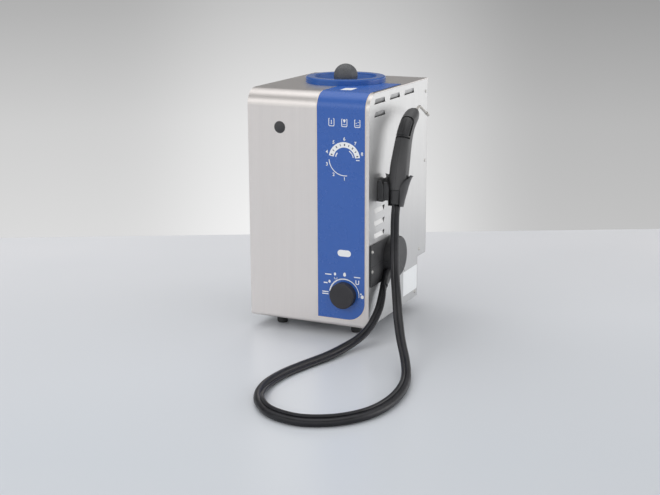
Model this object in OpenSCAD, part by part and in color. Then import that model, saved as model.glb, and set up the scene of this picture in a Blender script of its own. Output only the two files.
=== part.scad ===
// Bench steam cleaner: a steel cased boiler with a hand-held steam piece on a hose.
// Millimetres, +Z up. The origin is on the standing surface, under the middle of the casing.
// The front of the casing faces -Y and the holder for the handpiece is on its +X side.

/* [Casing] */
// Width of the casing, side to side
casing_w = 250; // [248:1:252]
// Depth of the casing at the top, front to back
casing_d = 298; // [294:1:300]
// Height of the casing above its own underside
casing_h = 444; // [440:1:450]
// Gap between the casing and the standing surface
foot_h = 22; // [21:0.5:23]
// Thickness of the casing sheet
sheet_t = 1.5; // [1.2:0.1:1.8]
// Outside radius of the bend between the front and the top
bend_r = 30; // [26:1:34]
// Depth of the recess at the lower rear
recess_d = 46; // [40:1:50]
// Height of the recess, measured from the casing's underside
recess_h = 84; // [80:1:88]

/* [Front panel] */
// Width of the control film
film_w = 97; // [94:1:98]
// Distance from the film's right edge to the casing's right side
film_margin = 8; // [7:1:10]
// Corner radius at the lower right of the film
film_corner_r = 35; // [30:1:40]
// Diameter of the selector knob
knob_d = 50; // [44:1:54]
// How far the selector knob stands out
knob_h = 14; // [12:1:18]

/* [Filler] */
// Outside diameter of the filler collar
collar_d = 157; // [152:1:158]
// Inside diameter of the filler collar at its lip
collar_bore_d = 120; // [116:1:124]
// Height of the filler collar above the casing
collar_h = 11.5; // [10:0.5:13]
// Diameter of the ball on the boiler cap
ball_d = 47; // [44:1:50]

/* [Outlet and hose] */
// Diameter of the hose drum
drum_d = 80; // [76:1:84]
// How far the drum stands out from the casing
drum_t = 22; // [20:1:24]
// Diameter of the steam hose
steam_hose_d = 13.5; // [13:0.5:14]
// Diameter of the control cable that is moulded along the hose
cable_d = 6.5; // [6:0.5:7]

/* [Handpiece] */
// Distance from the casing's side to the middle of the handpiece
handle_out = 33; // [33:1:34]
// Wall of the handpiece shells
shell_t = 2.5; // [2:0.1:2.8]
// Angle that the trigger swings through
trigger_swing = 4; // [3:0.5:4.5]

/* [Hidden] */
$fn = 72;

// Casing planes
side_x = casing_w / 2;
front_y = -casing_d / 2;
back_y = casing_d / 2;
top_z = foot_h + casing_h;
recess_y = back_y - recess_d;
recess_z = foot_h + recess_h;
floor_z = foot_h + sheet_t;
gap = 0.3;
return_x = side_x - sheet_t;
return_l = 20;
panel_inset = sheet_t + gap;
side_bottom_z = foot_h + 3;
lip_r = 6;
flange_l = 32;
eps = 0.01;

// Features on the front, measured from the casing's middle and the standing surface
control_x = side_x - film_margin - film_w / 2 + 6.5;
knob_z = 85.5;
dial_z = 345;
icon_z = 412.5;
icon_pitch = 26;
lamp_r = 26.5;
lamp_step = 36;
plug_x = -57.5;
plug_z = 396.5;
film_t = 0.5;
film_bottom_z = 37;
shaft_r = 3;

// Filler and boiler
filler_y = 25;
filler_hole_r = 65;
boiler_r = 75;
boiler_t = 2.5;
boiler_low_z = 140;
boiler_high_z = 395;
dome_h = 20;
dome_r = (boiler_r * boiler_r + dome_h * dome_h) / (2 * dome_h);
neck_r = 30;
neck_bore_r = 24;
neck_top_z = 446;
boss_r = 10;
boss_ring_r = 52;
boss_top_z = 412;
boss_angles = [-35, 35, 145, 215];
jacket_t = 12;
shelf_z = boiler_low_z + 10;

// Side louvres: rows are [height of the open edge, number in the row]
louvre_w = 52;
louvre_h = 10;
louvre_pitch_y = 73.5;
louvre_first_y = front_y + 50;
louvre_depth = 3.2;
upper_louvres = [[445, 3], [421, 1]];
lower_louvres = [[250, 1], [226, 1], [202, 1]];

// Outlet drum on the right side
drum_y = -47;
drum_z = 143.5;
drum_mid_x = side_x + 11;
outlet_wall = 3;
plate_front_y = front_y + 5;
outlet_angle = 128;
gland_r = 9.5;
gland_start = 24;
gland_end = 58;

// Handpiece: each station of the handle is [y, z, half width, half depth]
handle_x = side_x + handle_out;
handle_stations = [[-98, 257, 11.5, 11], [-96, 266, 12.5, 12], [-92, 282, 15.5, 14],
                   [-87, 300, 18, 15.2], [-80, 326, 18.3, 15.5], [-70.5, 352, 17.3, 14.8],
                   [-60, 376, 16.6, 14], [-49, 393, 16.4, 14], [-36, 405, 16.5, 14.8],
                   [-22, 413, 15.5, 14.8], [-12, 417, 12.5, 12], [-6, 419.3, 8.5, 8],
                   [-3, 420.3, 4.6, 4.6]];
collar_last = 2;
section_power = 2.4;
section_sides = 24;
nose_angle = 18;
nose = [-3, 420.3];
nozzle_r = 2.5;
nozzle_run = 17;
nozzle_bend_r = 12;
nozzle_bend = 44;
nozzle_end_l = 52;
tip_l = 16;
trigger_pos = [-48.5, 390];
trigger_lean = 37.5;
trigger_w = 26;
trigger_low = -22;
trigger_high = 21.5;
trigger_gap = 0.7;
pivot = [-7, -18];

// Holder cup: stations of its inner face, open at the front
cup_stations = [[-98.9, 253.5, 11.5, 11.2], [-96, 266, 13.1, 12.6], [-92, 282, 16.1, 14.6],
                [-88, 296, 18.4, 16.1], [-85, 306, 21, 18.6], [-83.5, 311, 23.5, 21.3]];
cup_t = 3;
slot_half_w = 11;
block_x = side_x + 12;

// Hose route from the outlet to the handpiece, laid on the standing surface in one loop
hose_lie_z = steam_hose_d / 2 + 0.3;
hose_route = [[136, -93, 107.5], [137, -103, 99.5], [139.8, -118, 81], [139.6, -133.6, 59],
              [134, -157.8, 34.5], [124.6, -190, 18], [111.4, -232.4, 9.4],
              [101, -282.7, 7.5], [82.7, -339, hose_lie_z - 1], [70.1, -393.3, hose_lie_z - 0.9],
              [67.5, -449.1, hose_lie_z - 0.6], [78.8, -498.7, hose_lie_z + 1],
              [101.7, -540.5, hose_lie_z + 2.4], [139, -573.5, hose_lie_z + 2.8],
              [190.4, -585, hose_lie_z + 2.8], [235, -569.2, hose_lie_z + 2.8],
              [266.1, -539.8, hose_lie_z + 2.8], [285.7, -501.2, hose_lie_z + 2.7],
              [293.5, -450, hose_lie_z + 2.7], [289, -390.2, hose_lie_z + 2.8],
              [273.1, -330.6, hose_lie_z + 3.2], [248.1, -273.8, 19.5],
              [220.6, -225.4, 39], [198.5, -183, 62], [181.9, -150, 90], [168.1, -124.4, 124],
              [160.3, -109.3, 165], [157.8, -104.1, 205], [157.8, -102.5, 237], [158, -98.3, 255.9]];
// Twist of the hose at each point of its route: 0 has the cable level with it on the loop's inner side
hose_twist = [80, 52, 26, 17, 14, 4, -12, -15, -19, -18, -12, 18, 47, 58, 60, 58, 55, 52, 52, 52,
              45, 38, 38, 34, 38, 41, 44, 47, 48, 48];
hose_steps = 2;
hose_w = steam_hose_d + cable_d;

// ---------- Curves and lofts ----------

function unit(v) = v / norm(v);

// Points of a smooth curve through the points p, with n steps between neighbours
function smooth(p, n) = [
    for (i = [0:len(p) - 2]) for (k = [0:n - 1])
        let (a = p[max(i - 1, 0)], b = p[i], c = p[i + 1], d = p[min(i + 2, len(p) - 1)],
             t = k / n)
        0.5 * (2 * b + (c - a) * t + (2 * a - 5 * b + 4 * c - d) * t * t
               + (3 * b - 3 * c + d - a) * t * t * t),
    p[len(p) - 1]];

// Direction of the curve p at point i
function heading(p, i) = unit(p[min(i + 1, len(p) - 1)] - p[max(i - 1, 0)]);

// Signed power, which squares off an ellipse a little
function squared(v) = sign(v) * pow(abs(v), 2 / section_power);

// One ring round the handle's axis: station s, leaning along t, grown by the amount grow
function handle_ring(s, t, grow) = [
    for (k = [0:section_sides - 1])
        let (angle = 360 * k / section_sides,
             across = (s[2] + grow) * squared(sin(angle)),
             out = (s[3] + grow) * squared(cos(angle)))
        [handle_x + across, s[0] - t[1] * out, s[1] + t[0] * out]];

// All rings of a body on the handle's axis
function handle_rings(stations, grow) = [
    for (i = [0:len(stations) - 1])
        let (axis_points = [for (s = stations) [s[0], s[1]]])
        handle_ring(stations[i], heading(axis_points, i), grow)];

// Solid through a list of rings that all have the same number of points
module ring_solid(rings) {
    n = len(rings[0]);
    m = len(rings);
    sides = [for (r = [0:m - 2]) for (k = [0:n - 1]) for (half = [0, 1])
        let (a = r * n + k, b = r * n + (k + 1) % n)
        half == 0 ? [a, b + n, b] : [a, a + n, b + n]];
    low_end = [for (k = [0:n - 1]) k];
    high_end = [for (k = [n - 1:-1:0]) (m - 1) * n + k];
    polyhedron([for (r = rings) each r], concat(sides, [low_end, high_end]));
}

// Half of a shell between two lists of rings, from the front round the +X side to the back
module half_shell(outer, inner) {
    n = section_sides / 2 + 1;
    m = len(outer);
    points = concat([for (r = outer) for (k = [0:n - 1]) r[k]],
                    [for (r = inner) for (k = [0:n - 1]) r[k]]);
    in0 = m * n;
    skin = [for (r = [0:m - 2]) for (k = [0:n - 2]) for (half = [0, 1])
        let (a = r * n + k, b = a + 1)
        half == 0 ? [a, b + n, b] : [a, a + n, b + n]];
    lining = [for (f = skin) [in0 + f[2], in0 + f[1], in0 + f[0]]];
    edges = [for (r = [0:m - 2]) for (k = [0, n - 1]) for (half = [0, 1])
        let (a = r * n + k, b = a + n,
             f = half == 0 ? [a, in0 + b, b] : [a, in0 + a, in0 + b])
        k == 0 ? f : [f[2], f[1], f[0]]];
    ends = [for (r = [0, m - 1]) for (k = [0:n - 2]) for (half = [0, 1])
        let (a = r * n + k, b = a + 1,
             f = half == 0 ? [a, in0 + b, in0 + a] : [a, b, in0 + b])
        r == 0 ? f : [f[2], f[1], f[0]]];
    polyhedron(points, concat(skin, lining, edges, ends));
}

// ---------- Flat outlines and placing ----------

// Extrudes an outline drawn as (y, z) along X from x0
module yz(x0, t) {
    translate([x0, 0, 0]) rotate([90, 0, 90]) linear_extrude(t) children();
}

// Extrudes an outline drawn as (x, z) along Y from y0
module xz(y0, t) {
    translate([0, y0 + t, 0]) rotate([90, 0, 0]) linear_extrude(t) children();
}

module rounded_rect(w, h, r) {
    square([w - 2 * r, h], center = true);
    square([w, h - 2 * r], center = true);
    for (i = [-1, 1]) for (j = [-1, 1])
        translate([i * (w / 2 - r), j * (h / 2 - r)]) circle(r);
}

// Quarter of a ring, turned by quarter turns from the +X +Y quadrant
module quarter_ring(r, t, turns) {
    rotate(90 * turns) intersection() {
        difference() {
            circle(r);
            circle(r - t);
        }
        square(r + 1);
    }
}

// Cylinder along X, Y or Z direction from a point
module rod_x(p, r, l) { translate(p) rotate([0, 90, 0]) cylinder(h = l, r = r); }
module rod_y(p, r, l) { translate(p) rotate([-90, 0, 0]) cylinder(h = l, r = r); }
module rod_z(p, r, l) { translate(p) cylinder(h = l, r = r); }

// Pan head screw: the head stands on z = 0 and the shank points down
module pan_screw(head_r, head_h, shank_r, shank_l) {
    dome_r = (head_r * head_r + head_h * head_h) / (2 * head_h);
    rotate_extrude() intersection() {
        translate([0, head_h - dome_r]) circle(dome_r);
        square([head_r, head_h]);
    }
    translate([0, 0, -shank_l]) cylinder(h = shank_l + eps, r = shank_r);
}

// ---------- Casing ----------

// Bent sheet seen from the side: return flange, front, bend and top
module cover_profile() {
    translate([front_y + lip_r, foot_h]) square([flange_l - lip_r, sheet_t]);
    translate([front_y + lip_r, foot_h + lip_r]) quarter_ring(lip_r, sheet_t, 2);
    translate([front_y, foot_h + lip_r]) square([sheet_t, casing_h - lip_r - bend_r]);
    translate([front_y + bend_r, top_z - bend_r]) quarter_ring(bend_r, sheet_t, 1);
    translate([front_y + bend_r, top_z - sheet_t]) square([casing_d - bend_r, sheet_t]);
    translate([back_y - sheet_t, top_z - 14]) square([sheet_t, 14]);
}

// Places for the lamps behind the film: the eight dial marks and the three tank marks
module at_lamps() {
    for (k = [0:7])
        let (angle = -90 - lamp_step * k)
        translate([control_x + lamp_r * cos(angle), 0, dial_z + lamp_r * sin(angle)])
            children();
    for (k = [-1:1]) translate([control_x + icon_pitch * k, 0, icon_z - 3]) children();
}

module front_top_cover() {
    color("lightgray") difference() {
        yz(-side_x, casing_w) cover_profile();
        rod_z([0, filler_y, top_z - 5], filler_hole_r, 10);
        rod_y([plug_x, front_y - 5, plug_z], 10, 10);
        rod_y([control_x, front_y - 5, knob_z], 5, 10);
        at_lamps() rod_y([0, front_y - 5, 0], 1.6, 10);
        for (p = rear_screw_places) rod_y([p[0], back_y - 5, p[1]], 2.1, 10);
    }
}

// Side panel: follows the cover in front and on top and steps in at the lower rear
module side_outline() {
    difference() {
        translate([front_y + panel_inset, side_bottom_z])
            square([casing_d - 2 * panel_inset, top_z - panel_inset - side_bottom_z]);
        translate([front_y + bend_r, top_z - bend_r]) rotate(90) difference() {
            square(bend_r + 1);
            circle(bend_r - panel_inset);
        }
        translate([front_y + lip_r, foot_h + lip_r]) rotate(180) difference() {
            square(lip_r + 1);
            circle(lip_r - panel_inset);
        }
        translate([recess_y - panel_inset, side_bottom_z - 1])
            square([recess_d, recess_z + panel_inset - side_bottom_z + 1]);
    }
}

// Opening of a louvre, wide at the open edge and narrow at the hinge edge
module louvre_outline(flip) {
    dz = flip ? -louvre_h : louvre_h;
    polygon([[-louvre_w / 2, 0], [louvre_w / 2, 0], [louvre_w / 2 - 5, dz], [-louvre_w / 2 + 5, dz]]);
}

// Pressed-in flap and cheeks of one louvre; the panel's outer face is at x = 0
module louvre_flap(flip) {
    w = louvre_w / 2;
    tip_z = 0.7;
    flap = [[-0.3, louvre_h + 0.5], [-0.3, louvre_h - 0.4], [-louvre_depth, tip_z],
            [-louvre_depth - 1, tip_z], [-sheet_t - 0.6, louvre_h + 0.5]];
    wedge = [[-0.5, louvre_h], [-louvre_depth - 0.5, tip_z], [-0.5, tip_z]];
    mirror([0, 0, flip ? 1 : 0]) {
        intersection() {
            translate([0, w, 0]) rotate([90, 0, 0]) linear_extrude(louvre_w) polygon(flap);
            yz(-louvre_depth - 2, louvre_depth + 2)
                polygon([[-w - 1.5, -1], [w + 1.5, -1], [w - 5, louvre_h + 2], [5 - w, louvre_h + 2]]);
        }
        for (s = [-1, 1]) intersection() {
            yz(-louvre_depth - 2, louvre_depth + 2)
                polygon([[s * w, 0], [s * (w + 1), 0], [s * (w - 4), louvre_h], [s * (w - 5), louvre_h]]);
            translate([0, w + 2, 0]) rotate([90, 0, 0]) linear_extrude(louvre_w + 4) polygon(wedge);
        }
    }
}

module at_louvres(rows) {
    for (row = rows) for (k = [0:row[1] - 1])
        translate([0, louvre_first_y + louvre_pitch_y * k, row[0]]) children();
}

side_screw_places = [[recess_y + 8, recess_z + 14], [recess_y - 14.5, 35.7],
                     [back_y - 12, 300], [back_y - 12, 440]];
rear_screw_places = [for (x = [-1, 1]) for (z = [recess_z + 12, top_z - 7]) [x * (side_x - 14), z]];

// Bent edge behind a side panel: spans y0 to y1 and z0 to z1 on both sides of the casing
module side_returns(y0, y1, z0, z1) {
    for (s = [-1, 1]) translate([s * (return_x - sheet_t / 2) - sheet_t / 2, y0, z0])
        cube([sheet_t, y1 - y0, z1 - z0]);
}

// Clearance holes for the screws in both side panels
module side_screw_holes(r) {
    for (p = side_screw_places) rod_x([-side_x - 5, p[0], p[1]], r, casing_w + 10);
}

module side_panel() {
    difference() {
        yz(side_x - sheet_t, sheet_t) side_outline();
        at_louvres(upper_louvres) yz(side_x - 4, 8) louvre_outline(false);
        at_louvres(lower_louvres) yz(side_x - 4, 8) louvre_outline(true);
        for (p = side_screw_places) rod_x([side_x - 5, p[0], p[1]], 2.1, 10);
    }
    at_louvres(upper_louvres) translate([side_x, 0, 0]) louvre_flap(false);
    at_louvres(lower_louvres) translate([side_x, 0, 0]) louvre_flap(true);
}

holder_screw_z = [270, 292];
outlet_screw_places = [[plate_front_y + 5.5, drum_z + 27.5], [plate_front_y + 5.5, drum_z - 11]];

module right_side_panel() {
    color("gainsboro") difference() {
        side_panel();
        rod_x([side_x - 5, drum_y, drum_z], 8, 10);
        for (z = holder_screw_z) rod_x([side_x - 5, -93, z], 2.3, 10);
        for (p = outlet_screw_places) rod_x([side_x - 5, p[0], p[1]], 1.8, 10);
    }
}

module left_side_panel() {
    color("gainsboro") difference() {
        mirror([1, 0, 0]) side_panel();
        at_standoffs() rod_x([-side_x - 5, 0, 0], 1.8, 10);
    }
}

// Upper rear: a flat sheet with side returns and a tab that goes behind the cover's edge
module rear_panel_upper() {
    low = recess_z + sheet_t;
    high = top_z - 14;
    color("gainsboro") difference() {
        union() {
            translate([-side_x, back_y - sheet_t, low]) cube([casing_w, sheet_t, high - low]);
            translate([-return_x, back_y - 2 * sheet_t, high - 8])
                cube([2 * return_x, sheet_t, 8 + 14 - sheet_t - gap]);
            side_returns(back_y - return_l, back_y - sheet_t, low + return_l + 5, high - 8);
        }
        for (p = rear_screw_places) rod_y([p[0], back_y - 5, p[1]], 2.1, 10);
        side_screw_holes(2.1);
    }
}

inlet_x = -93;
inlet_z = 66;

// Lower rear: the upright sheet with the mains inlet, bent back under the overhang
module rear_panel_lower() {
    color("gainsboro") difference() {
        union() {
            xz(recess_y - sheet_t, sheet_t) translate([-side_x, side_bottom_z])
                square([casing_w, recess_z - side_bottom_z + sheet_t]);
            translate([-side_x, recess_y - sheet_t, recess_z])
                cube([casing_w, recess_d + sheet_t, sheet_t]);
            translate([-return_x, back_y - 2 * sheet_t, recess_z])
                cube([2 * return_x, sheet_t, return_l]);
            side_returns(recess_y, back_y - 2 * sheet_t, recess_z, recess_z + return_l);
        }
        for (p = rear_screw_places) rod_y([p[0], back_y - 5, p[1]], 2.1, 10);
        side_screw_holes(2.1);
        xz(recess_y - 5, 10) translate([inlet_x, inlet_z]) square([28.2, 21.2], center = true);
        for (i = [-1, 1]) rod_y([inlet_x + 20 * i, recess_y - 5, inlet_z], 1.6, 10);
    }
}

foot_places = [for (x = [-80, 80]) for (y = [front_y + 46, recess_y - 30]) [x, y]];
drain_x = -15;
drain_y = front_y + 46;

// Floor of the casing, with side returns that the side panels are screwed to
module base_tray() {
    color("silver") difference() {
        union() {
            translate([-return_x, front_y + lip_r, floor_z])
                cube([2 * return_x, recess_y - sheet_t - front_y - lip_r, sheet_t]);
            side_returns(front_y + lip_r + 4, recess_y - sheet_t, floor_z, floor_z + return_l + 2);
        }
        for (p = foot_places) rod_z([p[0], p[1], floor_z - 5], 2.2, 10);
        rod_z([drain_x, drain_y, floor_z - 5], 6.2, 10);
        side_screw_holes(2.1);
    }
}

module feet() {
    color("#303032") for (p = foot_places) translate([p[0], p[1], 0]) difference() {
        union() {
            cylinder(h = 3, r1 = 9.5, r2 = 10.5);
            translate([0, 0, 3]) cylinder(h = floor_z - 3, r1 = 10.5, r2 = 11.5);
        }
        translate([0, 0, -1]) cylinder(h = 8, r = 4.5);
        cylinder(h = floor_z + 1, r = 2.1);
    }
}

module foot_screws() {
    color("silver") for (p = foot_places) translate([p[0], p[1], 7])
        mirror([0, 0, 1]) pan_screw(4.2, 2.6, 2, floor_z - 2);
}

module casing_screws() {
    color("silver") {
        for (s = [-1, 1]) for (p = side_screw_places)
            translate([s * side_x, p[0], p[1]]) rotate([0, 90 * s, 0]) pan_screw(3.5, 2, 1.9, 5);
        for (p = rear_screw_places)
            translate([p[0], back_y, p[1]]) rotate([-90, 0, 0]) pan_screw(3.5, 2, 1.9, 5);
    }
}

// ---------- Front ----------

// Printed film that lies on the front, over the bend and on the top as far as the filler
module front_film() {
    x0 = side_x - film_margin - film_w;
    color("#3c5fae") difference() {
        union() {
            xz(front_y - film_t, film_t) translate([x0, film_bottom_z]) {
                translate([0, film_corner_r]) square([film_w, top_z - bend_r - film_bottom_z - film_corner_r]);
                square([film_w - film_corner_r, film_corner_r + eps]);
                translate([film_w - film_corner_r, film_corner_r]) circle(film_corner_r);
            }
            yz(x0, film_w) translate([front_y + bend_r, top_z - bend_r])
                quarter_ring(bend_r + film_t, film_t, 1);
            translate([x0, front_y + bend_r, top_z])
                cube([film_w, filler_y - front_y - bend_r, film_t]);
        }
        rod_z([0, filler_y, top_z - 5], collar_d / 2 + 0.4, 10);
        rod_y([control_x, front_y - 5, knob_z], 5, 10);
    }
}

module blanking_plug() {
    color("#2c2c2e") translate([plug_x, front_y, plug_z]) rotate([90, 0, 0]) rotate_extrude()
        union() {
            intersection() {
                translate([0, 3 - 24]) circle(24);
                square([11.5, 3]);
            }
            translate([0, -4]) square([9.8, 4 + eps]);
        }
}

// Board behind the dial, held off the front by four spacers
module display_board() {
    color("darkgreen") {
        translate([control_x - 42, front_y + 11, dial_z - 42]) cube([84, 1.6, 124]);
        for (x = [-36, 36]) for (z = [-36, 76])
            rod_y([control_x + x, front_y + sheet_t, dial_z + z], 3, 9.5 + eps);
    }
}

module indicator_lamps() {
    color("gold") at_lamps() {
        rod_y([0, front_y + 0.2, 0], 1.5, 8);
        rod_y([0, front_y + 8, 0], 2, 3);
    }
}

// Knob: a plain disc with a softened rim and a hollow back
module selector_knob() {
    r = knob_d / 2;
    soft = 2.5;
    color("#333236") translate([control_x, front_y - film_t - 0.6, knob_z]) rotate([90, 0, 0])
        difference() {
            rotate_extrude() {
                square([r - soft, knob_h]);
                polygon([[0, 0], [r, 0], [r, knob_h - soft], [0, knob_h - soft]]);
                translate([r - soft, knob_h - soft]) circle(soft);
            }
            translate([0, 0, -1]) difference() {
                cylinder(h = knob_h - 3, r = r - 3);
                cylinder(h = knob_h, r = 6);
            }
            translate([0, 0, -1]) cylinder(h = knob_h - 2, r = shaft_r + 0.02);
        }
}

module selector_shaft() {
    start = front_y - film_t - 0.6 - (knob_h - 3);
    color("silver") rod_y([control_x, start, knob_z], shaft_r, front_y + 26 - start);
}

module selector_switch() {
    color("#4a4a4e") difference() {
        union() {
            translate([control_x - 21, front_y + 8, knob_z - 21]) cube([42, 24, 42]);
            rod_y([control_x, front_y + sheet_t, knob_z], 12, 7);
            for (s = [-1, 1]) translate([control_x + 12 * s - 2, front_y + 32, knob_z - 12])
                cube([4, 7, 24]);
        }
        rod_y([control_x, front_y - 1, knob_z], shaft_r + 0.05, 28);
    }
}

// ---------- Filler and boiler cap ----------

// Collar on the casing's top with a funnel that leads down to the boiler's neck
module filler_collar() {
    r = collar_d / 2;
    bore = collar_bore_d / 2;
    soft = 3;
    low = neck_top_z - 8;
    color("#3d66b8") translate([0, filler_y, 0]) rotate_extrude() difference() {
        union() {
            translate([bore + soft, top_z]) square([r - bore - 2 * soft, collar_h]);
            translate([bore, top_z]) square([r - bore, collar_h - soft]);
            translate([r - soft, top_z + collar_h - soft]) circle(soft);
            translate([bore + soft, top_z + collar_h - soft]) circle(soft);
            polygon([[bore + 4, top_z + 1], [bore, top_z + collar_h - soft], [neck_r + 6, neck_top_z],
                     [neck_r + gap, neck_top_z], [neck_r + gap, low], [neck_r + 4, low],
                     [neck_r + 9, neck_top_z - 3], [bore + 3, top_z - 3]]);
        }
        translate([bore + 7, top_z - 1]) square([r - bore - 10, 8]);
    }
}

// Screw cap: a plug in the neck, a flange on the seal and a stem that carries the ball
module boiler_cap() {
    color("#3a3a3c") translate([0, filler_y, 0]) {
        rod_z([0, 0, neck_top_z - 14], neck_bore_r - 0.08, 16 + eps);
        rod_z([0, 0, neck_top_z + 2], neck_r - 1, 5);
        for (k = [0:7]) rotate(45 * k) translate([neck_r - 3, -2, neck_top_z + 2]) cube([3.5, 4, 5]);
        rod_z([0, 0, neck_top_z + 7], 9, 6);
    }
}

ball_z = top_z + collar_h;

module cap_knob() {
    r = ball_d / 2;
    flat_z = neck_top_z + 13;
    color("#57585a") translate([0, filler_y, 0]) intersection() {
        translate([0, 0, ball_z]) sphere(r);
        rod_z([0, 0, flat_z], r + 1, 2 * r);
    }
}

module cap_seal() {
    color("#8c3b2e") translate([0, filler_y, neck_top_z]) difference() {
        cylinder(h = 2, r = neck_r - 2);
        translate([0, 0, -1]) cylinder(h = 4, r = neck_bore_r + 0.1);
    }
}

// ---------- Boiler ----------

// Half outline of the vessel, or of its inside when shrunk
module vessel_profile(shrink) {
    r = boiler_r - shrink;
    translate([0, boiler_low_z]) square([r, boiler_high_z - boiler_low_z]);
    intersection() {
        translate([0, boiler_high_z - dome_r + dome_h]) circle(dome_r - shrink);
        translate([0, boiler_high_z - eps]) square([r, dome_h]);
    }
    intersection() {
        translate([0, boiler_low_z + dome_r - dome_h]) circle(dome_r - shrink);
        translate([0, boiler_low_z - dome_h]) square([r, dome_h + eps]);
    }
}

module at_bosses(which) {
    for (k = which) rotate(boss_angles[k]) translate([boss_ring_r, 0, 0]) children();
}

// Pressure vessel with domed ends, a threaded neck and four screwed bosses
module boiler_shell() {
    color("#b8bab8") translate([0, filler_y, 0]) difference() {
        union() {
            rotate_extrude() vessel_profile(0);
            rod_z([0, 0, boiler_high_z + 10], neck_r, neck_top_z - boiler_high_z - 10);
            at_bosses([0:3]) rod_z([0, 0, boiler_high_z + 5], boss_r, boss_top_z - boiler_high_z - 5);
            rod_z([0, 0, boiler_low_z - dome_h - 6], 30, 10);
            rod_z([0, 0, shelf_z], boiler_r + 4, 3);
        }
        rotate_extrude() vessel_profile(boiler_t);
        rod_z([0, 0, boiler_high_z], neck_bore_r, 60);
        at_bosses([0:3]) rod_z([0, 0, boiler_high_z], 5, 20);
        rod_z([0, 0, boiler_low_z - dome_h - 10], 20, 30);
        rod_z([drain_x, -48, boiler_low_z - dome_h - 10], 4, 30);
    }
}

module insulation_jacket() {
    color("#d8d2c0") translate([0, filler_y, shelf_z + 3]) difference() {
        cylinder(h = boiler_high_z - shelf_z - 13, r = boiler_r + jacket_t);
        translate([0, 0, -1]) cylinder(h = 300, r = boiler_r + 0.1);
    }
}

// Ring on four angle legs: its inner shelf carries the boiler and its band holds the jacket
module boiler_stand() {
    band_r = boiler_r + jacket_t + 0.1;
    low = floor_z + sheet_t;
    color("silver") translate([0, filler_y, 0]) {
        difference() {
            rod_z([0, 0, shelf_z - 2], band_r + 2, 24);
            rod_z([0, 0, shelf_z], band_r, 30);
            rod_z([0, 0, shelf_z - 5], boiler_r + 0.5, 10);
        }
        for (k = [0:3]) rotate(45 + 90 * k) {
            translate([band_r + 1, -10, low]) cube([2, 20, shelf_z + 22 - low]);
            translate([band_r + 1, -10, low]) cube([8, 20, 2]);
        }
    }
}

// Plug with six bolts that closes the bottom of the boiler and carries the heater
module heater_flange() {
    z = boiler_low_z - dome_h - 6;
    color("#9a9c9e") translate([0, filler_y, 0]) {
        rod_z([0, 0, z - 5], 29, 5);
        rod_z([0, 0, z - eps], 19.9, 12);
        for (k = [0:5]) rotate(60 * k) translate([24.5, 0, z - 8.5]) cylinder(h = 3.5 + eps, r = 3, $fn = 6);
        for (s = [-1, 1]) rod_z([10 * s, 0, z - 16], 2.5, 11 + eps);
    }
}

// Two rising stems joined by a ring inside the boiler
module heater_element() {
    z = boiler_low_z - dome_h + 6;
    ring_z = boiler_low_z + 32;
    color("#6c6258") translate([0, filler_y, 0]) {
        translate([0, 0, ring_z]) rotate_extrude() translate([45, 0]) circle(4);
        for (s = [-1, 1]) {
            rod_z([12 * s, 0, z], 4, ring_z - z);
            translate([12 * s, 0, ring_z]) sphere(4);
            translate([s > 0 ? 12 : -45, 0, ring_z]) rotate([0, 90, 0]) cylinder(h = 33, r = 4);
        }
    }
}

module safety_valve() {
    color("#b58b3c") translate([0, filler_y, 0]) at_bosses([3]) {
        rod_z([0, 0, boss_top_z - 8], 4.9, 8 + eps);
        translate([0, 0, boss_top_z]) cylinder(h = 8, r = 9, $fn = 6);
        rod_z([0, 0, boss_top_z + 8 - eps], 7, 14);
        translate([0, 0, boss_top_z + 22 - eps]) cylinder(h = 4, r1 = 7, r2 = 4);
    }
}

module pressure_switch() {
    color("#3f4a55") translate([0, filler_y, 0]) at_bosses([2]) {
        rod_z([0, 0, boss_top_z - 8], 4.9, 8 + eps);
        translate([0, 0, boss_top_z]) cylinder(h = 7, r = 9, $fn = 6);
        rod_z([0, 0, boss_top_z + 7 - eps], 10.5, 12);
        for (s = [-1, 1]) translate([4 * s - 0.5, -3, boss_top_z + 19 - eps]) cube([1, 6, 6]);
    }
}

// Three rods of different lengths that feel the water level
module level_probes() {
    color("#c9cbcc") translate([0, filler_y, 0]) at_bosses([1]) {
        rod_z([0, 0, boss_top_z - 8], 4.9, 8 + eps);
        translate([0, 0, boss_top_z]) cylinder(h = 7, r = 9, $fn = 6);
        for (k = [0:2]) rotate(120 * k) {
            rod_z([2.6, 0, boss_top_z + 7 - eps], 1, 8);
            rod_z([2.6, 0, 200 + 55 * k], 1, boss_top_z - 8 - 200 - 55 * k + eps);
        }
    }
}

valve_x = 92;
valve_y = front_y + 72;
valve_z = 320;
pipe_r = 4;
boss0 = [boss_ring_r * cos(boss_angles[0]), filler_y + boss_ring_r * sin(boss_angles[0])];

// Brass valve block on a bracket that is fixed to the right side panel
module solenoid_valve() {
    color("#b58b3c") {
        translate([valve_x - 14, valve_y - 14, valve_z - 16]) cube([28, 28, 32]);
        translate([valve_x + 14 - eps, valve_y - 16, valve_z - 20])
            cube([side_x - sheet_t - valve_x - 14 + eps, 3, 40]);
        translate([side_x - sheet_t - 2, valve_y - 16, valve_z - 20]) cube([2, 20, 40]);
    }
}

module solenoid_coil() {
    color("#232325") {
        rod_y([valve_x, valve_y + 14, valve_z], 5, 6 + eps);
        translate([valve_x - 15, valve_y + 20, valve_z - 17]) cube([30, 34, 34]);
        rod_y([valve_x, valve_y + 54 - eps, valve_z], 6, 5);
    }
}

// Round pipe through corner points, with a ball at each corner
module pipe(points, r) {
    for (i = [0:len(points) - 2]) {
        v = points[i + 1] - points[i];
        translate(points[i]) rotate([0, acos(v[2] / norm(v)), atan2(v[1], v[0])])
            cylinder(h = norm(v), r = r);
    }
    for (i = [1:len(points) - 2]) translate(points[i]) sphere(r);
}

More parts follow.
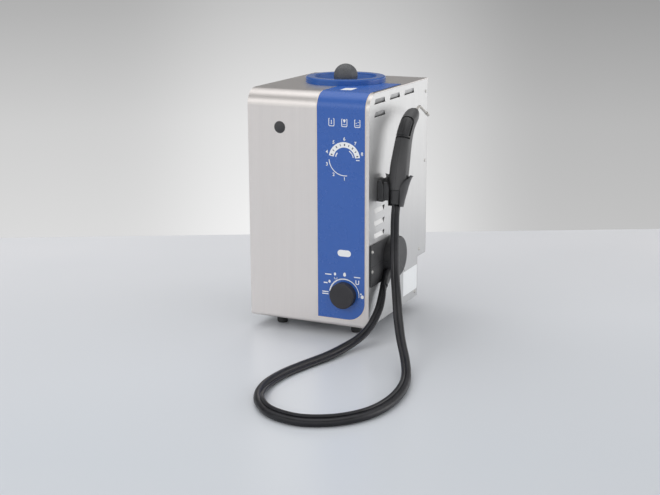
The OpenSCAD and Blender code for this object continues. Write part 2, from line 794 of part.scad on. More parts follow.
module steam_pipe_inlet() {
    z = boss_top_z + 15;
    color("#c07a4a") {
        translate([boss0[0], boss0[1], boss_top_z]) cylinder(h = 7, r = 8, $fn = 6);
        pipe([[boss0[0], boss0[1], boss_top_z + 5], [boss0[0], boss0[1], z], [valve_x, boss0[1], z],
              [valve_x, valve_y, z], [valve_x, valve_y, valve_z + 16]], pipe_r);
    }
}

// Runs down from the valve and out through the side panel into the drum
module steam_pipe_outlet() {
    x = valve_x - 6;
    color("#c07a4a") {
        pipe([[x, valve_y, valve_z - 16], [x, valve_y, drum_z + 30], [x, drum_y, drum_z + 30],
              [x, drum_y, drum_z], [drum_mid_x - 7, drum_y, drum_z]], pipe_r);
    }
}

module drain_pipe() {
    low = floor_z + sheet_t;
    color("#c07a4a")
        pipe([[drain_x, drain_y, low + 8], [drain_x, drain_y, low + 24],
              [drain_x, filler_y - 48, low + 24], [drain_x, filler_y - 48, boiler_low_z - 4]],
             pipe_r - 0.1);
}

// Hexagon plug that closes the boiler's drain from below
module drain_plug() {
    color("#2f3032") {
        translate([drain_x, drain_y, floor_z - 12]) cylinder(h = 12, r = 10, $fn = 6);
        rod_z([drain_x, drain_y, floor_z - eps], 6, sheet_t + 6);
        rod_z([drain_x, drain_y, floor_z + sheet_t], 9, 8);
    }
}

// ---------- Electrics ----------

board_x = -side_x + sheet_t + 10;
module at_standoffs() {
    for (y = [-118, -32]) for (z = [70, 180]) translate([0, y, z]) children();
}

module control_board() {
    color("darkgreen") {
        translate([board_x, -125, 62]) cube([1.6, 100, 136]);
        translate([board_x + 1.6 - eps, -112, 140]) cube([24, 40, 36]);
        for (k = [0:2]) translate([board_x + 1.6 - eps, -60, 80 + 26 * k]) cube([12, 22, 18]);
        for (k = [0:2]) rod_x([board_x + 1.6 - eps, -108 + 14 * k, 92], 5.5, 16);
    }
}

module board_standoffs() {
    color("silver") at_standoffs() difference() {
        rod_x([-side_x + sheet_t, 0, 0], 3.5, board_x + side_x - sheet_t);
        rod_x([-side_x, 0, 0], 1.8, 20);
    }
}

// Outline of an appliance inlet, with its two upper corners cut off
module inlet_outline(w, h, c) {
    polygon([[-w / 2, -h / 2], [w / 2, -h / 2], [w / 2, h / 2 - c], [w / 2 - c, h / 2],
             [-w / 2 + c, h / 2], [-w / 2, h / 2 - c]]);
}

// Appliance inlet: flange, socket and three blades
module mains_inlet() {
    color("#29292b") translate([inlet_x, recess_y, inlet_z]) {
        difference() {
            union() {
                xz(0, 3) difference() {
                    rounded_rect(50, 24, 4);
                    for (i = [-1, 1]) translate([20 * i, 0]) circle(1.7);
                }
                xz(-20, 20 + eps) inlet_outline(28, 21, 5);
            }
            xz(-15, 20) inlet_outline(24, 17, 4);
        }
        for (p = [[-7, -2], [7, -2], [0, 2]])
            translate([p[0] - 1, -15 - eps, p[1] - 2]) cube([2, 13, 4]);
    }
}

module mains_inlet_screws() {
    color("silver") for (i = [-1, 1]) translate([inlet_x + 20 * i, recess_y + 3, inlet_z])
        rotate([-90, 0, 0]) pan_screw(2.9, 1.8, 1.5, 9);
}

// ---------- Holder on the right side ----------

module holder_block() {
    color("#39393b") difference() {
        xz(-110, 34) polygon([[side_x, 262], [block_x, 262], [block_x, 292], [side_x + 6.5, 304], [side_x, 301]]);
        for (z = holder_screw_z) rod_x([side_x - 1, -93, z], 2.05, 20);
    }
}

// Cup that wraps the lower handle, open at the front where its mouth widens into a neckline
module holder_cradle() {
    outer = handle_rings(smooth(cup_stations, 2), cup_t);
    neckline = [[slot_half_w, 240], [slot_half_w, 288], [12, 293], [14.5, 299], [19, 304.5],
                [26, 308.5], [34, 311]];
    mouth = concat(neckline, [[34, 330], [-34, 330]],
                   [for (i = [len(neckline) - 1:-1:0]) [-neckline[i][0], neckline[i][1]]]);
    color("#39393b") difference() {
        union() {
            ring_solid(outer);
            translate([block_x, -108, 265]) cube([12, 30, 34]);
        }
        ring_solid(handle_rings(smooth(cup_core(), 2), 0));
        for (z = holder_screw_z) rod_x([side_x, -93, z], 2.05, 15);
        translate([handle_x, 0, 0]) xz(-160, 160 - 88) polygon(mouth);
    }
}

// The cup's inner face, carried past both ends so that it cuts through
function cup_core() = concat([[-100, 249, 11, 10.8]], cup_stations, [[-82, 316, 26, 24]]);

module holder_screws() {
    color("silver") for (z = holder_screw_z)
        translate([side_x - sheet_t, -93, z]) rotate([0, -90, 0]) pan_screw(4, 2.4, 2, 16);
}

// ---------- Hose outlet ----------

// Outline of the outlet: a plate that runs into the drum
module outlet_outline() {
    translate([plate_front_y, drum_z - drum_d / 2]) square([drum_y - plate_front_y, drum_d]);
    translate([drum_y, drum_z]) circle(drum_d / 2);
}

module outlet_body() {
    r = drum_d / 2;
    soft = 5;
    difference() {
        union() {
            yz(side_x, outlet_wall) outlet_outline();
            translate([side_x, drum_y, drum_z]) rotate([0, 90, 0]) rotate_extrude() {
                square([r, drum_t - soft]);
                square([r - soft, drum_t]);
                translate([r - soft, drum_t - soft]) circle(soft);
            }
        }
        rod_x([side_x - 1, drum_y, drum_z], r - outlet_wall, drum_t - outlet_wall + 1);
        translate([drum_mid_x, drum_y, drum_z]) rotate([outlet_angle, 0, 0]) {
            cylinder(h = r + 22, r = gland_r + 0.1);
            translate([0, 0, r]) cylinder(h = 22, r = gland_r + 0.8);
        }
        for (p = outlet_screw_places) rod_x([side_x - 1, p[0], p[1]], 1.8, 10);
    }
}

// The half of the outlet above the parting line, drawn as (y, z)
module above_parting(shift) {
    polygon([[-160, 142 + shift], [-55.7, 142 + shift], [20, 66.3 + shift], [20, 200], [-160, 200]]);
}

module outlet_cover_upper() {
    color("#3a3a3c") intersection() {
        outlet_body();
        yz(side_x - 1, drum_t + 2) above_parting(0.15);
    }
}

module outlet_cover_lower() {
    color("#3a3a3c") difference() {
        outlet_body();
        yz(side_x - 2, drum_t + 4) above_parting(-0.15);
    }
}

module outlet_screws() {
    color("silver") for (p = outlet_screw_places)
        translate([side_x + outlet_wall, p[0], p[1]]) rotate([0, 90, 0]) pan_screw(4, 2.4, 1.7, 8);
}

// Rubber sleeve that the hose leaves through, with a block that is trapped inside the drum
module hose_gland() {
    block = 26;
    seat = sqrt(pow(drum_d / 2 - outlet_wall, 2) - pow(block / 2, 2)) - 0.02;
    color("#262628") translate([drum_mid_x, drum_y, drum_z]) rotate([outlet_angle, 0, 0]) {
        translate([-gland_r, -block / 2, gland_start]) cube([17, block, seat - gland_start]);
        for (k = [0:3]) translate([0, 0, 41 + 4.2 * k]) cylinder(h = 2.4, r = gland_r + 0.6);
        translate([0, 0, seat - eps]) cylinder(h = gland_end - seat, r = gland_r);
    }
}

// ---------- Hose ----------

hose_line = smooth(hose_route, hose_steps);
hose_n = len(hose_line);
hose_mid = floor(hose_n / 2);

function across(v, t) = unit(v - (v * t) * t);

// Carries a sideways direction along the hose from ring i to ring last
function carry(v, i, step, last) =
    i == last ? [v] : concat([v], carry(across(v, heading(hose_line, i + step)), i + step, step, last));

hose_mid_side = unit(cross([0, 0, 1], heading(hose_line, hose_mid)));
hose_back = carry(hose_mid_side, hose_mid, -1, 0);
hose_ahead = carry(hose_mid_side, hose_mid, 1, hose_n - 1);
hose_sides = [for (i = [0:hose_n - 1]) i < hose_mid ? hose_back[hose_mid - i] : hose_ahead[i - hose_mid]];

// Twist at ring i, even between the points of the route
function hose_roll(i) = let (k = floor(i / hose_steps), t = i / hose_steps - k)
    t == 0 ? hose_twist[k] : hose_twist[k] * (1 - t) + hose_twist[k + 1] * t;

// Cross section: the steam hose with the cable moulded to one side
hose_section = concat(
    [for (k = [0:7]) let (a = 45 + 270 / 7 * k)
        [-cable_d / 2 + steam_hose_d / 2 * cos(a), steam_hose_d / 2 * sin(a)]],
    [for (a = [-75, -25, 25, 75]) [steam_hose_d / 2 + cable_d / 2 * cos(a), cable_d / 2 * sin(a)]]);

module hose() {
    rings = [for (i = [0:hose_n - 1])
        let (t = heading(hose_line, i), side = hose_sides[i], up = cross(t, side), a = hose_roll(i),
             u = side * cos(a) + up * sin(a), v = up * cos(a) - side * sin(a))
        [for (p = hose_section) hose_line[i] + p[0] * u + p[1] * v]];
    color("#2e2d31") ring_solid(rings);
}

// ---------- Handpiece ----------

handle_line = smooth(handle_stations, 2);
collar_ring = 2 * collar_last;
handle_upper = [for (i = [collar_ring:len(handle_line) - 1]) handle_line[i]];

// Inner face of the shells: the wall off the outer face, thicker in the nose
function inside(s) =
    [s[0] - (s[0] > -14 ? 2 : 0), s[1] - (s[0] > -14 ? 0.65 : 0),
     max(s[2] - shell_t * (s[0] > -24 ? 1.4 : 1), nozzle_r + 0.1),
     max(s[3] - shell_t * (s[0] > -24 ? 1.4 : 1), nozzle_r + 0.1)];

// Places its children on the trigger's face: +Z up along the handle, -Y out of it
module at_trigger() {
    translate([handle_x, trigger_pos[0], trigger_pos[1]]) rotate([-trigger_lean, 0, 0]) children();
}

// Outline of the trigger, rounded at the top, grown by the amount grow
module trigger_outline(grow) {
    w = trigger_w / 2 + grow;
    low = trigger_low - grow;
    high = trigger_high + grow;
    r = 10;
    translate([-w, low]) square([2 * w, high - low - r]);
    translate([-w + r, high - r - eps]) square([2 * w - 2 * r, r + eps]);
    for (s = [-1, 1]) translate([s * (w - r), high - r]) circle(r);
}

// Screws that join the two shells, each as [y, z]
screw_places = [[-82, 316], [-60, 367]];

// One half of the handle, with its screw bosses and the ledge that carries the switch
module handle_half() {
    outer = handle_rings(handle_upper, 0);
    inner = handle_rings([for (s = handle_upper) inside(s)], 0);
    difference() {
        union() {
            half_shell(outer, inner);
            intersection() {
                union() {
                    for (p = screw_places) rod_x([handle_x, p[0], p[1]], 3.6, 20);
                    at_trigger() translate([0, 6, -8]) cube([20, 2, 20]);
                }
                ring_solid(handle_rings(handle_upper, -0.5));
            }
        }
        at_trigger() xz(-24, 18) trigger_outline(trigger_gap);
        at_trigger() rod_x([0, pivot[0], pivot[1]], 1.52, 14);
    }
}

module handle_shell_right() {
    color("#3b3b3d") difference() {
        handle_half();
        for (p = screw_places) rod_x([handle_x - 1, p[0], p[1]], 1.52, 12);
    }
}

// Mirror half, with the sunk holes for the screw heads on the casing's side
module handle_shell_left() {
    color("#3b3b3d") difference() {
        translate([2 * handle_x, 0, 0]) mirror([1, 0, 0]) handle_half();
        for (p = screw_places) {
            rod_x([handle_x - 20, p[0], p[1]], 1.7, 22);
            rod_x([handle_x - 30, p[0], p[1]], 2.9, 30 - 10);
        }
    }
}

// Hose socket that closes the lower end of the handle
module handle_collar() {
    rings = handle_rings([for (i = [0:collar_ring]) handle_line[i]], -0.4);
    color("#2a2a2c") ring_solid(rings);
}

// Two screws that pull the shells together, sunk on the casing's side
module handle_screws() {
    color("silver") for (p = screw_places)
        translate([handle_x - 10, p[0], p[1]]) rotate([0, -90, 0]) pan_screw(2.7, 1.8, 1.5, 20);
}

// Thumb button: part of the handle's skin on a hinge lug, with a raised rib
module trigger_button() {
    skin = handle_rings(handle_line, 0.5);
    rib = handle_rings(handle_line, 1.6);
    color("#303033") difference() {
        union() {
            intersection() {
                at_trigger() xz(-22, 13.5) trigger_outline(0);
                ring_solid(skin);
            }
            intersection() {
                at_trigger() translate([-1.4, -22, trigger_low + 2]) cube([2.8, 12, 36]);
                ring_solid(rib);
            }
            at_trigger() {
                rod_x([-8, pivot[0], pivot[1]], 3, 4);
                rod_x([4, pivot[0], pivot[1]], 3, 4);
            }
        }
        at_trigger() {
            rod_x([-14, pivot[0], pivot[1]], 1.56, 28);
            rod_x([-3.9, pivot[0], pivot[1]], 3.1, 7.8);
        }
    }
}

module trigger_pin() {
    color("silver") at_trigger() rod_x([-13.5, pivot[0], pivot[1]], 1.5, 27);
}

// Coil of the return spring round the hinge pin, with one leg that reaches the switch
module trigger_spring() {
    color("silver") at_trigger() difference() {
        union() {
            rod_x([-3.4, pivot[0], pivot[1]], 2.6, 6.8);
            translate([-0.5, pivot[0] + 1.6, pivot[1]]) cube([1, 1, 10]);
        }
        rod_x([-4, pivot[0], pivot[1]], 1.55, 8);
    }
}

// Small switch on the shells' ledge, with a plunger that the button pushes
module trigger_switch() {
    color("#55555a") at_trigger() {
        translate([-6, -4, -8]) cube([12, 10, 20]);
        translate([-2, -6.2, 8]) cube([4, 2.2 + eps, 3]);
    }
}

function along(angle) = [cos(angle), sin(angle)];

// Middle line of the steam tube as (y, z): from inside the head, out of the nose and round the bend
nozzle_bend_start = nose + nozzle_run * along(nose_angle);
nozzle_bend_mid = nozzle_bend_start - nozzle_bend_r * along(nose_angle + 90);
nozzle_line = concat(
    [nose - 26 * along(nose_angle)],
    [for (k = [0:6]) nozzle_bend_mid + nozzle_bend_r * along(nose_angle + 90 - nozzle_bend * k / 6)],
    [nozzle_bend_mid + nozzle_bend_r * along(nose_angle + 90 - nozzle_bend)
     + (nozzle_end_l - tip_l) * along(nose_angle - nozzle_bend)]);

// Bent steam tube that leaves the nose of the handle
module nozzle_tube() {
    rings = [for (i = [0:len(nozzle_line) - 1])
        let (p = nozzle_line[i], t = heading(nozzle_line, i))
        [for (k = [0:15]) let (a = 360 / 16 * k)
            [handle_x + nozzle_r * sin(a), p[0] - t[1] * nozzle_r * cos(a),
             p[1] + t[0] * nozzle_r * cos(a)]]];
    color("#c9cacb") ring_solid(rings);
}

module nozzle_ferrule() {
    color("#9c9d9f") translate([handle_x, nose[0], nose[1]]) rotate([nose_angle, 0, 0]) difference() {
        rod_y([0, 0.1, 0], 4.2, 5);
        rod_y([0, -1, 0], nozzle_r + 0.02, 8);
    }
}

module nozzle_tip() {
    color("#b9babb") translate([handle_x, nose[0], nose[1]]) rotate([nose_angle, 0, 0])
        translate([0, nozzle_run, -nozzle_bend_r]) rotate([-nozzle_bend, 0, 0])
        translate([0, nozzle_end_l - tip_l, nozzle_bend_r]) rotate([-90, 0, 0]) difference() {
            union() {
                cylinder(h = tip_l - 4, r = 3.3);
                translate([0, 0, tip_l - 4 - eps]) cylinder(h = 4, r1 = 3.3, r2 = 2);
            }
            translate([0, 0, tip_l - 10]) cylinder(h = 12, r = 0.8);
        }
}

front_top_cover();
right_side_panel();
left_side_panel();
rear_panel_upper();
rear_panel_lower();
base_tray();
feet();
foot_screws();
casing_screws();
front_film();
blanking_plug();
display_board();
indicator_lamps();
selector_knob();
selector_shaft();
selector_switch();
filler_collar();
boiler_cap();
cap_knob();
cap_seal();
boiler_shell();
insulation_jacket();
boiler_stand();
heater_flange();
heater_element();
safety_valve();
pressure_switch();
level_probes();
solenoid_valve();
solenoid_coil();
steam_pipe_inlet();
steam_pipe_outlet();
drain_pipe();
drain_plug();
control_board();
board_standoffs();
mains_inlet();
mains_inlet_screws();
holder_block();
holder_cradle();
holder_screws();
outlet_cover_upper();
outlet_cover_lower();
outlet_screws();
hose_gland();
hose();
handle_shell_left();
handle_shell_right();
handle_collar();
handle_screws();
trigger_button();
trigger_pin();
trigger_spring();
trigger_switch();
nozzle_tube();
nozzle_ferrule();
nozzle_tip();
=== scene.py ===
"""Looks of the bench steam cleaner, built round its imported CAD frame. Metres, +Z up."""
import math

import bmesh
import bpy
from mathutils import Matrix, Vector


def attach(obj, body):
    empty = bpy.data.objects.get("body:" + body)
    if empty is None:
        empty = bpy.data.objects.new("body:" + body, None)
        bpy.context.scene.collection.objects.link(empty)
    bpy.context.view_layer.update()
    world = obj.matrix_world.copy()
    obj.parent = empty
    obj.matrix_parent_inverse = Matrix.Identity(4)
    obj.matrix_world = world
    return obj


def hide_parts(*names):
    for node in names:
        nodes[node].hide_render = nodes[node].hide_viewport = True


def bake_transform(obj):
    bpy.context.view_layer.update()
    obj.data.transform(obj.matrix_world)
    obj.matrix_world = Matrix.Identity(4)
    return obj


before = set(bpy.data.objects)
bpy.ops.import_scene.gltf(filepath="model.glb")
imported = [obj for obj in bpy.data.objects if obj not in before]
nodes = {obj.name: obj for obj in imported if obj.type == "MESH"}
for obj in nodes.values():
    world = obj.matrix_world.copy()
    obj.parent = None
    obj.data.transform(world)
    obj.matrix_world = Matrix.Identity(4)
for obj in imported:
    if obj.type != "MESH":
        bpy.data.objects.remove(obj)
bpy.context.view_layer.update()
scene = bpy.context.scene
scene.view_settings.view_transform = "Standard"


# ---------- Small tools ----------

MM = 0.001  # one millimetre in metres


def add(obj):
    """Puts a new object in the scene."""
    scene.collection.objects.link(obj)
    return obj


def mm(x, y, z):
    """A point given in millimetres in the row frame."""
    return Vector((x, y, z)) * MM


def mesh_piece(name, points, faces, smooth=True):
    """A new piece with the given points and faces."""
    data = bpy.data.meshes.new(name)
    data.from_pydata([tuple(p) for p in points], [], faces)
    for polygon in data.polygons:
        polygon.use_smooth = smooth
    data.update()
    return add(bpy.data.objects.new(name, data))


def dress(obj, material):
    """Gives a piece its one material."""
    obj.data.materials.clear()
    obj.data.materials.append(material)
    return obj


def soften(obj, width, segments=3, angle=35):
    """Rounds the edges of a piece that are sharper than the angle in degrees."""
    m = obj.modifiers.new("soft_edges", "BEVEL")
    m.width = width
    m.segments = segments
    m.limit_method = "ANGLE"
    m.angle_limit = math.radians(angle)
    m.harden_normals = True
    for polygon in obj.data.polygons:
        polygon.use_smooth = True
    return obj


def smooth_curve(points, n):
    """A Catmull-Rom curve through the points, with n steps between neighbours."""
    out = []
    last = len(points) - 1
    for i in range(last):
        a, b, c, d = points[max(i - 1, 0)], points[i], points[i + 1], points[min(i + 2, last)]
        for k in range(n):
            t = k / n
            out.append(0.5 * (2 * b + (c - a) * t + (2 * a - 5 * b + 4 * c - d) * t * t
                              + (3 * b - 3 * c + d - a) * t ** 3))
    out.append(points[last].copy())
    return out


def headings(line):
    """The direction of a row of points at each of them."""
    last = len(line) - 1
    return [(line[min(i + 1, last)] - line[max(i - 1, 0)]).normalized() for i in range(last + 1)]


def loft(name, rings):
    """A closed body through rings that all have the same number of points."""
    n = len(rings[0])
    points = [p for ring in rings for p in ring]
    faces = []
    for r in range(len(rings) - 1):
        for k in range(n):
            a, b = r * n + k, r * n + (k + 1) % n
            faces.append((a, b, b + n, a + n))
    faces.append(tuple(range(n - 1, -1, -1)))
    faces.append(tuple((len(rings) - 1) * n + k for k in range(n)))
    return mesh_piece(name, points, faces)


def rounded_box(cx, cz, w, h, r):
    """Outline of a box with round corners, anticlockwise."""
    out, n = [], 6
    for sx, sz, start in ((1, -1, -90), (1, 1, 0), (-1, 1, 90), (-1, -1, 180)):
        for k in range(n + 1):
            a = math.radians(start + 90 * k / n)
            out.append((cx + sx * (w / 2 - r) + r * math.cos(a),
                        cz + sz * (h / 2 - r) + r * math.sin(a)))
    return out


def rebuild(obj, change=None):
    """Runs a bmesh edit on a piece's mesh, if one is given, and turns its faces outward."""
    mesh = bmesh.new()
    mesh.from_mesh(obj.data)
    if change:
        change(mesh)
    bmesh.ops.recalc_face_normals(mesh, faces=mesh.faces)
    mesh.to_mesh(obj.data)
    mesh.free()
    return obj


def evaluated_mesh(obj):
    """A new mesh with the piece's modifiers, or its text, worked out."""
    depsgraph = bpy.context.evaluated_depsgraph_get()
    return bpy.data.meshes.new_from_object(obj.evaluated_get(depsgraph))


def combine(obj, other, how):
    """Joins or cuts a piece with another one, which is used up."""
    for piece in (obj, other):
        rebuild(piece)
    m = obj.modifiers.new("combine", "BOOLEAN")
    m.operation, m.solver, m.object = how, "EXACT", other
    bpy.context.view_layer.update()
    made = evaluated_mesh(obj)
    obj.modifiers.clear()
    obj.data = made
    bpy.data.objects.remove(other)
    return obj


def half_of(obj, name, x, side):
    """The part of a piece on one side of a plane across X, closed where it is cut."""
    piece = add(bpy.data.objects.new(name, obj.data.copy()))

    def cut(mesh):
        everything = mesh.verts[:] + mesh.edges[:] + mesh.faces[:]
        bmesh.ops.bisect_plane(mesh, geom=everything, plane_co=(x, 0, 0), plane_no=(side, 0, 0),
                               clear_outer=False, clear_inner=True)
        bmesh.ops.holes_fill(mesh, edges=[e for e in mesh.edges if e.is_boundary])

    return rebuild(piece, cut)


def prism(name, outline, place, low, high):
    """A solid with the given outline, where place turns outline and height into a point."""
    return loft(name, [[place(u, v, w) for u, v in outline] for w in (low, high)])


# ---------- Materials ----------

# Sockets of the Mix node, which has a set of them for each kind of data.
MIX_FACTOR, FLOAT_A, FLOAT_B, COLOUR_A, COLOUR_B = 0, 2, 3, 6, 7
FLOAT_OUT, COLOUR_OUT = 0, 2

# The range in which nearly all values of the noise lie.
NOISE_RANGE = (0.35, 0.65)


class Shader:
    """A material with its node tree, built up from procedural noise in row-frame metres."""

    def __init__(self, name, colour, rough, metal=0.0, specular=0.5):
        self.material = bpy.data.materials.new(name)
        self.material.use_nodes = True
        self.tree = self.material.node_tree
        self.bsdf = self.tree.nodes["Principled BSDF"]
        self.colour = colour
        self.set("Base Color", (*colour, 1))
        self.set("Roughness", rough)
        self.set("Metallic", metal)
        self.set("Specular IOR Level", specular)
        self.place = self.tree.nodes.new("ShaderNodeTexCoord")

    def set(self, socket, value):
        self.bsdf.inputs[socket].default_value = value

    def noise(self, scale, detail, rough, offset=(0, 0, 0)):
        """Noise with this many cells to the metre along X, Y and Z."""
        mapping = self.tree.nodes.new("ShaderNodeMapping")
        mapping.inputs["Scale"].default_value = scale
        mapping.inputs["Location"].default_value = offset
        self.tree.links.new(self.place.outputs["Object"], mapping.inputs["Vector"])
        texture = self.tree.nodes.new("ShaderNodeTexNoise")
        texture.inputs["Scale"].default_value = 1.0
        texture.inputs["Detail"].default_value = detail
        texture.inputs["Roughness"].default_value = rough
        self.tree.links.new(mapping.outputs["Vector"], texture.inputs["Vector"])
        return texture.outputs["Fac"]

    def spread(self, source, low, high, at=NOISE_RANGE):
        """Maps a noise value from the range at to the range low to high."""
        node = self.tree.nodes.new("ShaderNodeMapRange")
        node.inputs["From Min"].default_value = at[0]
        node.inputs["From Max"].default_value = at[1]
        node.inputs["To Min"].default_value = low
        node.inputs["To Max"].default_value = high
        self.tree.links.new(source, node.inputs["Value"])
        return node.outputs["Result"]

    def tint(self, source, other, at=NOISE_RANGE):
        """Mixes the colour towards another one by a noise value."""
        base = self.bsdf.inputs["Base Color"]
        mix = self.tree.nodes.new("ShaderNodeMix")
        mix.data_type = "RGBA"
        if base.is_linked:
            self.tree.links.new(base.links[0].from_socket, mix.inputs[COLOUR_A])
        else:
            mix.inputs[COLOUR_A].default_value = (*self.colour, 1)
        mix.inputs[COLOUR_B].default_value = (*other, 1)
        self.tree.links.new(self.spread(source, 0, 1, at), mix.inputs[MIX_FACTOR])
        self.tree.links.new(mix.outputs[COLOUR_OUT], base)

    def vary_rough(self, source, low, high):
        """Lets the roughness follow a noise value."""
        self.tree.links.new(self.spread(source, low, high), self.bsdf.inputs["Roughness"])

    def bump(self, source, depth, strength):
        """Raises the surface by up to depth metres, following a noise value."""
        node = self.tree.nodes.new("ShaderNodeBump")
        node.inputs["Strength"].default_value = strength
        node.inputs["Distance"].default_value = depth
        self.tree.links.new(source, node.inputs["Height"])
        self.tree.links.new(node.outputs["Normal"], self.bsdf.inputs["Normal"])


def brushed(name, colour, rough, grain):
    """Brushed sheet steel: grain is the noise scale along X, Y and Z."""
    s = Shader(name, colour, rough, 1.0)
    fine = s.noise(grain, 3, 0.6)
    broad = s.noise(tuple(g * 0.06 for g in grain), 3, 0.5, (3.1, 1.7, 0.4))
    s.tint(broad, tuple(c * 0.965 for c in colour))
    s.tint(fine, tuple(c * 0.96 for c in colour), (0.3, 0.9))
    s.vary_rough(fine, rough * 0.85, rough * 1.2)
    s.bump(fine, 0.04 * MM, 0.35)
    return s.material


def moulded(name, colour, rough, grit, depth=0.06 * MM, specular=0.5):
    """Moulded plastic with a fine spark-eroded texture and faint handling marks."""
    s = Shader(name, colour, rough, 0.0, specular)
    fine = s.noise((grit, grit, grit), 2, 0.5)
    broad = s.noise((28, 28, 28), 4, 0.6)
    s.tint(broad, tuple(c * 1.18 + 0.003 for c in colour))
    s.vary_rough(broad, rough * 0.88, rough * 1.14)
    s.bump(fine, depth, 0.5)
    return s.material


def plain(name, colour, rough, metal=0.0, specular=0.5, mark=0.08, uneven=0.17):
    """Smooth surface: mark and uneven are how far its tone and its gloss vary."""
    s = Shader(name, colour, rough, metal, specular)
    broad = s.noise((35, 35, 35), 5, 0.6)
    s.tint(broad, tuple(c * (1 - mark) for c in colour))
    s.vary_rough(broad, rough * (1 - uneven), rough * (1 + uneven))
    return s.material


front_steel = brushed("front_steel", (0.75, 0.713, 0.692), 0.36, (1500, 1500, 16))
side_steel = brushed("side_steel", (0.63, 0.63, 0.63), 0.37, (1400, 1400, 22))
tray_steel = brushed("tray_steel", (0.5, 0.5, 0.5), 0.45, (900, 40, 900))
film_blue = plain("film_blue", (0.034, 0.124, 0.46), 0.27, 0.0, 0.58, 0.03, 0.04)
print_white = plain("print_white", (0.95, 0.96, 0.97), 0.4, 0.0, 0.5, 0.02)
edge_cream = plain("edge_cream", (0.86, 0.73, 0.58), 0.5, 0.0, 0.3, 0.05)
print_dark = plain("print_dark", (0.02, 0.03, 0.07), 0.4, 0.0, 0.4)
collar_blue = plain("collar_blue", (0.024, 0.108, 0.40), 0.16, 0.0, 0.4, 0.06)
knob_black = moulded("knob_black", (0.021, 0.020, 0.024), 0.42, 2200)
body_grey = moulded("body_grey", (0.034, 0.034, 0.036), 0.42, 1600)
handle_grey = moulded("handle_grey", (0.045, 0.045, 0.047), 0.38, 1900)
collar_black = moulded("collar_black", (0.026, 0.026, 0.028), 0.4, 1900)
foot_rubber = moulded("foot_rubber", (0.022, 0.022, 0.023), 0.6, 1200)
screw_steel = plain("screw_steel", (0.5, 0.49, 0.47), 0.5, 1.0)
nozzle_steel = plain("nozzle_steel", (0.5, 0.48, 0.45), 0.25, 1.0)
boiler_steel = brushed("boiler_steel", (0.55, 0.55, 0.55), 0.35, (500, 500, 500))
brass = plain("brass", (0.62, 0.4, 0.13), 0.25, 1.0)
copper = plain("copper", (0.7, 0.33, 0.2), 0.28, 1.0)
board_green = plain("board_green", (0.015, 0.14, 0.05), 0.3)
felt = moulded("felt", (0.55, 0.5, 0.38), 0.9, 400, 0.6 * MM)
seal_red = plain("seal_red", (0.3, 0.05, 0.035), 0.5)
lamp_clear = plain("lamp_clear", (0.8, 0.76, 0.5), 0.2)
# Painted shade: near-black for the strips that stand in for the shade inside the upper vents.
painted_shade_black = moulded("painted_shade_black", (0.004, 0.004, 0.004), 0.8, 2500, 0.3 * MM, 0.1)
electric_black = moulded("electric_black", (0.02, 0.02, 0.021), 0.35, 1500)
label_white = plain("label_white", (0.93, 0.95, 0.96), 0.35, 0.0, 0.5, 0.04)


def ball_material():
    """Rough grey plastic with pale specks."""
    s = Shader("ball_grey", (0.088, 0.09, 0.091), 0.55)
    specks = s.noise((2600, 2600, 2600), 1, 0.4)
    broad = s.noise((60, 60, 60), 4, 0.6)
    s.tint(broad, (0.075, 0.076, 0.08))
    s.tint(specks, (0.26, 0.265, 0.27), (0.6, 0.68))
    s.vary_rough(broad, 0.46, 0.64)
    s.bump(specks, 0.12 * MM, 0.5)
    return s.material


def rubber_material():
    """Black rubber with a little dust on it."""
    s = Shader("hose_rubber", (0.0065, 0.0065, 0.0085), 0.25, 0.0, 0.36)
    dust = s.noise((60, 60, 60), 5, 0.65)
    fine = s.noise((900, 900, 900), 2, 0.5)
    s.tint(dust, (0.015, 0.015, 0.019))
    s.vary_rough(dust, 0.28, 0.44)
    s.bump(fine, 0.05 * MM, 0.35)
    return s.material


ball_grey = ball_material()
hose_rubber = rubber_material()


# ---------- Camera ----------

CAMERA_PLACE = (1.04197, -2.28677, 0.76196)
yaw, pitch, roll = math.radians(24.99), math.radians(13.99), math.radians(-0.235)
away = Vector((-math.sin(yaw), math.cos(yaw), 0))  # level, straight away from the camera
level = Vector((math.cos(yaw), math.sin(yaw), 0))  # level, to the camera's right
forward = Vector((-math.sin(yaw) * math.cos(pitch), math.cos(yaw) * math.cos(pitch),
                  -math.sin(pitch)))
upward = level.cross(forward)
right = math.cos(roll) * level + math.sin(roll) * upward
top = math.cos(roll) * upward - math.sin(roll) * level
camera_data = bpy.data.cameras.new("camera")
camera_data.sensor_width = 36
camera_data.lens = 70.38
camera_data.clip_start, camera_data.clip_end = 0.05, 60
camera = add(bpy.data.objects.new("camera", camera_data))
camera.matrix_world = Matrix.Translation(CAMERA_PLACE) @ Matrix(
    (right, top, -forward)).transposed().to_4x4()
scene.camera = camera


# ---------- Hose ----------

HOSE_WIDTH, STEAM, CABLE = 0.020, 0.0135, 0.0065  # the whole, its steam hose and its cable
HOSE_STEPS = 8

# Middle of the hose, from the outlet over its loop on the floor up to the handpiece.
hose_route = [mm(*p) for p in (
    (136, -93, 107.5), (137, -103, 99.5), (139.8, -118, 81), (139.6, -133.6, 59),
    (134, -157.8, 34.5), (124.6, -190, 18), (111.4, -232.4, 9.4), (101, -282.7, 7.5),
    (82.7, -339, 6.05), (70.1, -393.3, 6.15), (67.5, -449.1, 6.45), (78.8, -498.7, 8.05),
    (101.7, -540.5, 9.45), (139, -573.5, 9.85), (190.4, -585, 9.85), (235, -569.2, 9.85),
    (266.1, -539.8, 9.85), (285.7, -501.2, 9.75), (293.5, -450, 9.75), (289, -390.2, 9.85),
    (273.1, -330.6, 10.25), (248.1, -273.8, 19.5), (220.6, -225.4, 39), (198.5, -183, 62),
    (181.9, -150, 90), (168.1, -124.4, 124), (160.3, -109.3, 165), (157.8, -104.1, 205),
    (157.8, -102.5, 237), (158, -98.3, 255.9))]
